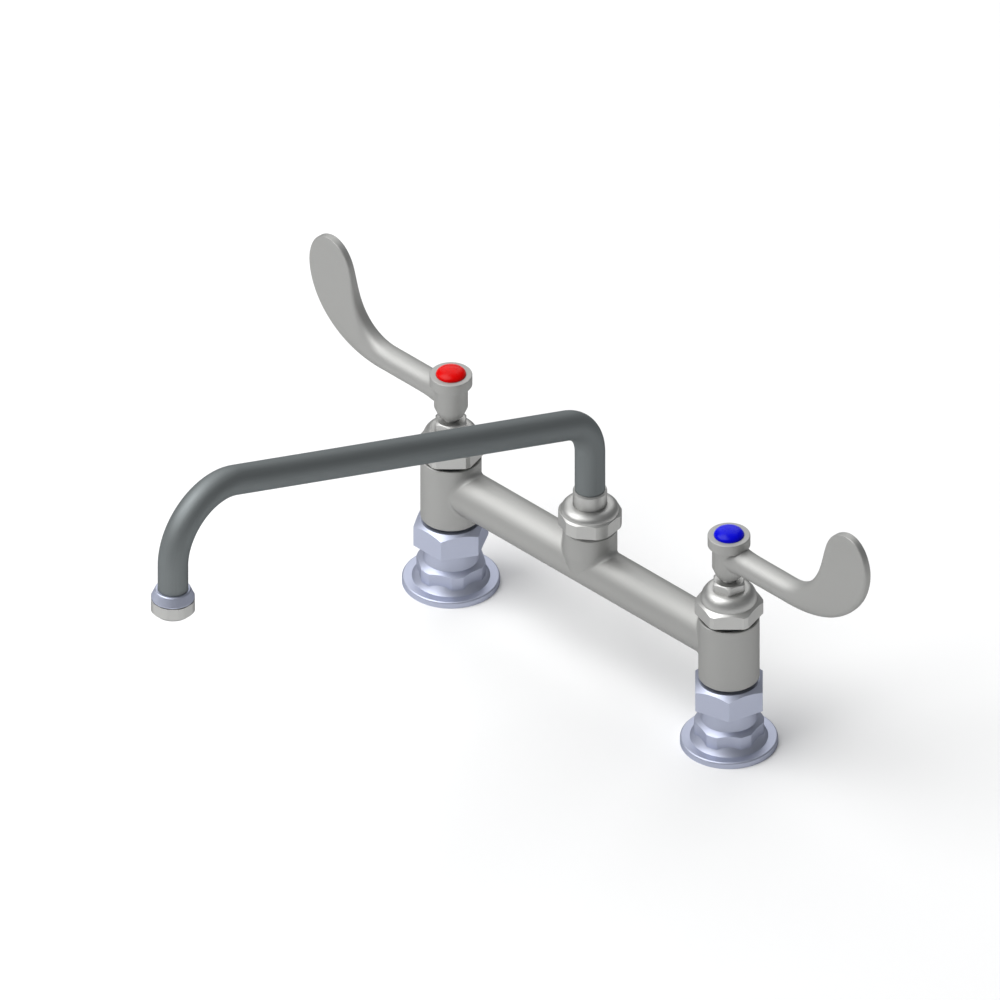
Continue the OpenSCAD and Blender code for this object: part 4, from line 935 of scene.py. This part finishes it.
class FAUCET_OT_swivel(bpy.types.Operator):
    """Swivel nut, ferrule and the rings that hold the spout"""
    bl_idname = "faucet.swivel"
    bl_label = "Swivel"

    def ferrule(self, s):
        """Barrel with grooves for O-rings and snap ring, and the socket of the tube"""
        low, high = (corner.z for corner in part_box("spout_ferrule"))
        inset = s.ferrule_inset
        rows = [(s.ferrule_way_r, low), (s.ferrule_r - inset, low), (s.ferrule_r, low + inset)]
        for floor_r, foot, height in ((s.groove_r, s.groove_low - s.groove_h / 2, s.groove_h),
                                      (s.groove_r, s.groove_high - s.groove_h / 2, s.groove_h),
                                      (s.snap_r, s.snap_z, s.snap_h)):
            z = low + foot
            rows += [(s.ferrule_r, z), (floor_r, z), (floor_r, z + height),
                     (s.ferrule_r, z + height)]
        rows += [(s.ferrule_r, high - 2 * s.ferrule_edge), (s.ferrule_r - s.ferrule_edge, high),
                 (s.socket_r, high), (s.socket_r, high - s.socket_l),
                 (s.ferrule_way_r, high - s.socket_l)]
        return lathe(rows, (0.0, 0.0))

    def execute(self, context):
        s = context.scene.faucet_swivel
        low, high = (corner.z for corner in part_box("swivel_nut"))
        t, r = flats(6, s.af, s.corner_r, s.turn)
        foot = low + s.hex_h
        rows = [(s.bore_r, low), (r, low), chamfer(r, s.dome_r, foot),
                *dome(s.dome_r, s.dome_top_r, foot, high), (s.hole_r, high),
                (s.hole_r, low + s.bore_l), (s.bore_r, low + s.bore_l)]
        stand_in("swivel_nut", "body", spun(t, rows, (0.0, 0.0)), turned_plating())
        stand_in("spout_ferrule", "spout", self.ferrule(s), turned_plating())
        dress("swivel_washer", "swivel_snap_ring", "swivel_orings")
        return {"FINISHED"}


class FAUCET_OT_aerator(bpy.types.Operator):
    """Outlet adapter and aerator at the end of the spout"""
    bl_idname = "faucet.aerator"
    bl_label = "Aerator"

    def adapter(self, s, low, high, centre):
        """Thread, band and cone round the tube's end"""
        band_z = high - s.band_h
        rows = [(s.way_r, low), (s.thread_r, low), (s.thread_r, band_z), (s.band_r, band_z),
                (s.band_r, band_z + s.edge), (s.top_r + s.edge, high - s.edge), (s.top_r, high),
                (s.socket_r, high), (s.socket_r, high - s.socket_l),
                (s.way_r, high - s.socket_l)]
        return lathe(rows, centre)

    def housing(self, s, low, high, centre):
        """Ring with eight flats for a spanner, a bevelled foot and a lip"""
        t, r = flats(8, s.af, s.corner_r, s.turn)
        foot_r = s.corner_r - s.foot
        rows = [(s.lip_r, low), (foot_r, low), (r, low + r - foot_r), (r, high),
                (s.seat_r, high), (s.seat_r, low + s.lip_t), (s.lip_r, low + s.lip_t)]
        return spun(t, rows, centre)

    def execute(self, context):
        sizes = context.scene.faucet_outlet
        # The photograph shows the adapter in the flanges' bluish chrome and the
        # housing in the bonnets' grey
        for node, build, slot, finish in (
                ("outlet_adapter", self.adapter, "bright_chrome", bright_plating()),
                ("aerator_housing", self.housing, "satin_chrome", turned_plating())):
            low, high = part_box(node)
            centre = ((low.x + high.x) / 2, (low.y + high.y) / 2)
            grid = build(sizes, low.z, high.z, centre)
            stand_in(node, "spout", grid, finish, slot)
        dress("aerator_gasket", "aerator_insert", "aerator_screen")
        return {"FINISHED"}


class FAUCET_OT_stage(bpy.types.Operator):
    """Pale floor, soft lamps and a camera at the photograph's angle"""
    bl_idname = "faucet.stage"
    bl_label = "Stage"

    def stand(self, name, data, where, way):
        """Puts a lamp or camera where it stands, looking along a way"""
        holder = bpy.data.objects.new(name, data)
        holder.location = where
        holder.rotation_mode = "QUATERNION"
        holder.rotation_quaternion = way.to_track_quat("-Z", "Y")
        bpy.context.scene.collection.objects.link(holder)
        return holder

    def lamp(self, name, where, size, watts):
        """A square lamp that looks at the faucet's middle"""
        light = bpy.data.lights.new(name, "AREA")
        light.shape, light.size, light.energy = "SQUARE", size, watts
        self.stand(name, light, where, Vector(AIM) - Vector(where))

    def floor(self, settings):
        """A square on the deck's plane, wide enough to fill the picture"""
        half = settings.size / 2
        mesh = bpy.data.meshes.new("floor")
        mesh.from_pydata([(-half, -half, 0), (half, -half, 0), (half, half, 0), (-half, half, 0)],
                         [], [(0, 1, 2, 3)])
        floor = bpy.data.objects.new("floor", mesh)
        bpy.context.scene.collection.objects.link(floor)
        # Matt paper gives the floor its colour without a shine
        mesh.materials.append(begin("matt paper floor", Roughness=0.9, Specular_IOR_Level=0.0,
                                    Base_Color=(*settings.floor, 1.0))[0])

    def execute(self, context):
        settings = context.scene.faucet_stage
        scene = context.scene
        scene.view_settings.view_transform = "Standard"
        world = bpy.data.worlds.new("soft studio")
        scene.world = world
        world.use_nodes = True
        sky = world.node_tree.nodes["Background"]
        sky.inputs["Color"].default_value = (*settings.sky, 1.0)
        sky.inputs["Strength"].default_value = settings.world
        self.floor(settings)
        self.lamp("key", KEY_AT, settings.lamp_size, settings.key)
        self.lamp("back", BACK_AT, settings.lamp_size, settings.back)
        camera = bpy.data.cameras.new("camera")
        camera.type = "ORTHO"
        camera.ortho_scale = settings.view_w
        camera.clip_end = 20.0
        # The photograph's isometric view, from 2 m away
        azimuth, elevation = math.radians(45), math.atan(math.sqrt(0.5))
        towards = Vector((math.sin(azimuth) * math.cos(elevation),
                          -math.cos(azimuth) * math.cos(elevation), math.sin(elevation)))
        right = Vector((math.cos(azimuth), math.sin(azimuth), 0))
        target = settings.view_x * right + settings.view_y * towards.cross(right)
        scene.camera = self.stand("camera", camera, target + 2.0 * towards, -towards)
        return {"FINISHED"}


class FAUCET_PT_panel(bpy.types.Panel):
    """The faucet's pieces and sizes"""
    bl_label = "Faucet"
    bl_space_type = "VIEW_3D"
    bl_region_type = "UI"
    bl_category = "Faucet"

    def draw(self, context):
        scene = context.scene
        for group in GROUPS:
            box = self.layout.box()
            data = getattr(scene, group)
            for key in data.bl_rna.properties.keys():
                if key not in ("rna_type", "name"):
                    box.prop(data, key)
        for step in STEPS:
            self.layout.operator(step.bl_idname)


GROUPS = {"faucet_flange": FaucetFlangeSizes, "faucet_nut": FaucetNutSizes,
          "faucet_body": FaucetBodySizes, "faucet_bonnet": FaucetBonnetSizes,
          "faucet_handle": FaucetHandleSizes, "faucet_swivel": FaucetSwivelSizes,
          "faucet_button": FaucetButtonSizes, "faucet_spout": FaucetSpoutSizes,
          "faucet_outlet": FaucetOutletSizes, "faucet_finishes": FaucetFinishes,
          "faucet_stage": FaucetStageSettings}
STEPS = (FAUCET_OT_body, FAUCET_OT_couplings, FAUCET_OT_bonnets, FAUCET_OT_valves,
         FAUCET_OT_handles, FAUCET_OT_buttons, FAUCET_OT_spout, FAUCET_OT_swivel,
         FAUCET_OT_aerator, FAUCET_OT_stage)


def register():
    """Registers the classes and hangs their sizes on the scene."""
    for made in (*GROUPS.values(), *STEPS, FAUCET_PT_panel):
        bpy.utils.register_class(made)
    for name, group in GROUPS.items():
        setattr(bpy.types.Scene, name, bpy.props.PointerProperty(type=group))


def unregister():
    """Takes back what register did."""
    for name in GROUPS:
        delattr(bpy.types.Scene, name)
    for made in reversed((*GROUPS.values(), *STEPS, FAUCET_PT_panel)):
        bpy.utils.unregister_class(made)


def main():
    """Runs every step in order."""
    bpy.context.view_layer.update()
    register()
    for step in STEPS:
        group, name = step.bl_idname.split(".")
        getattr(getattr(bpy.ops, group), name)()


if __name__ == "__main__":
    main()
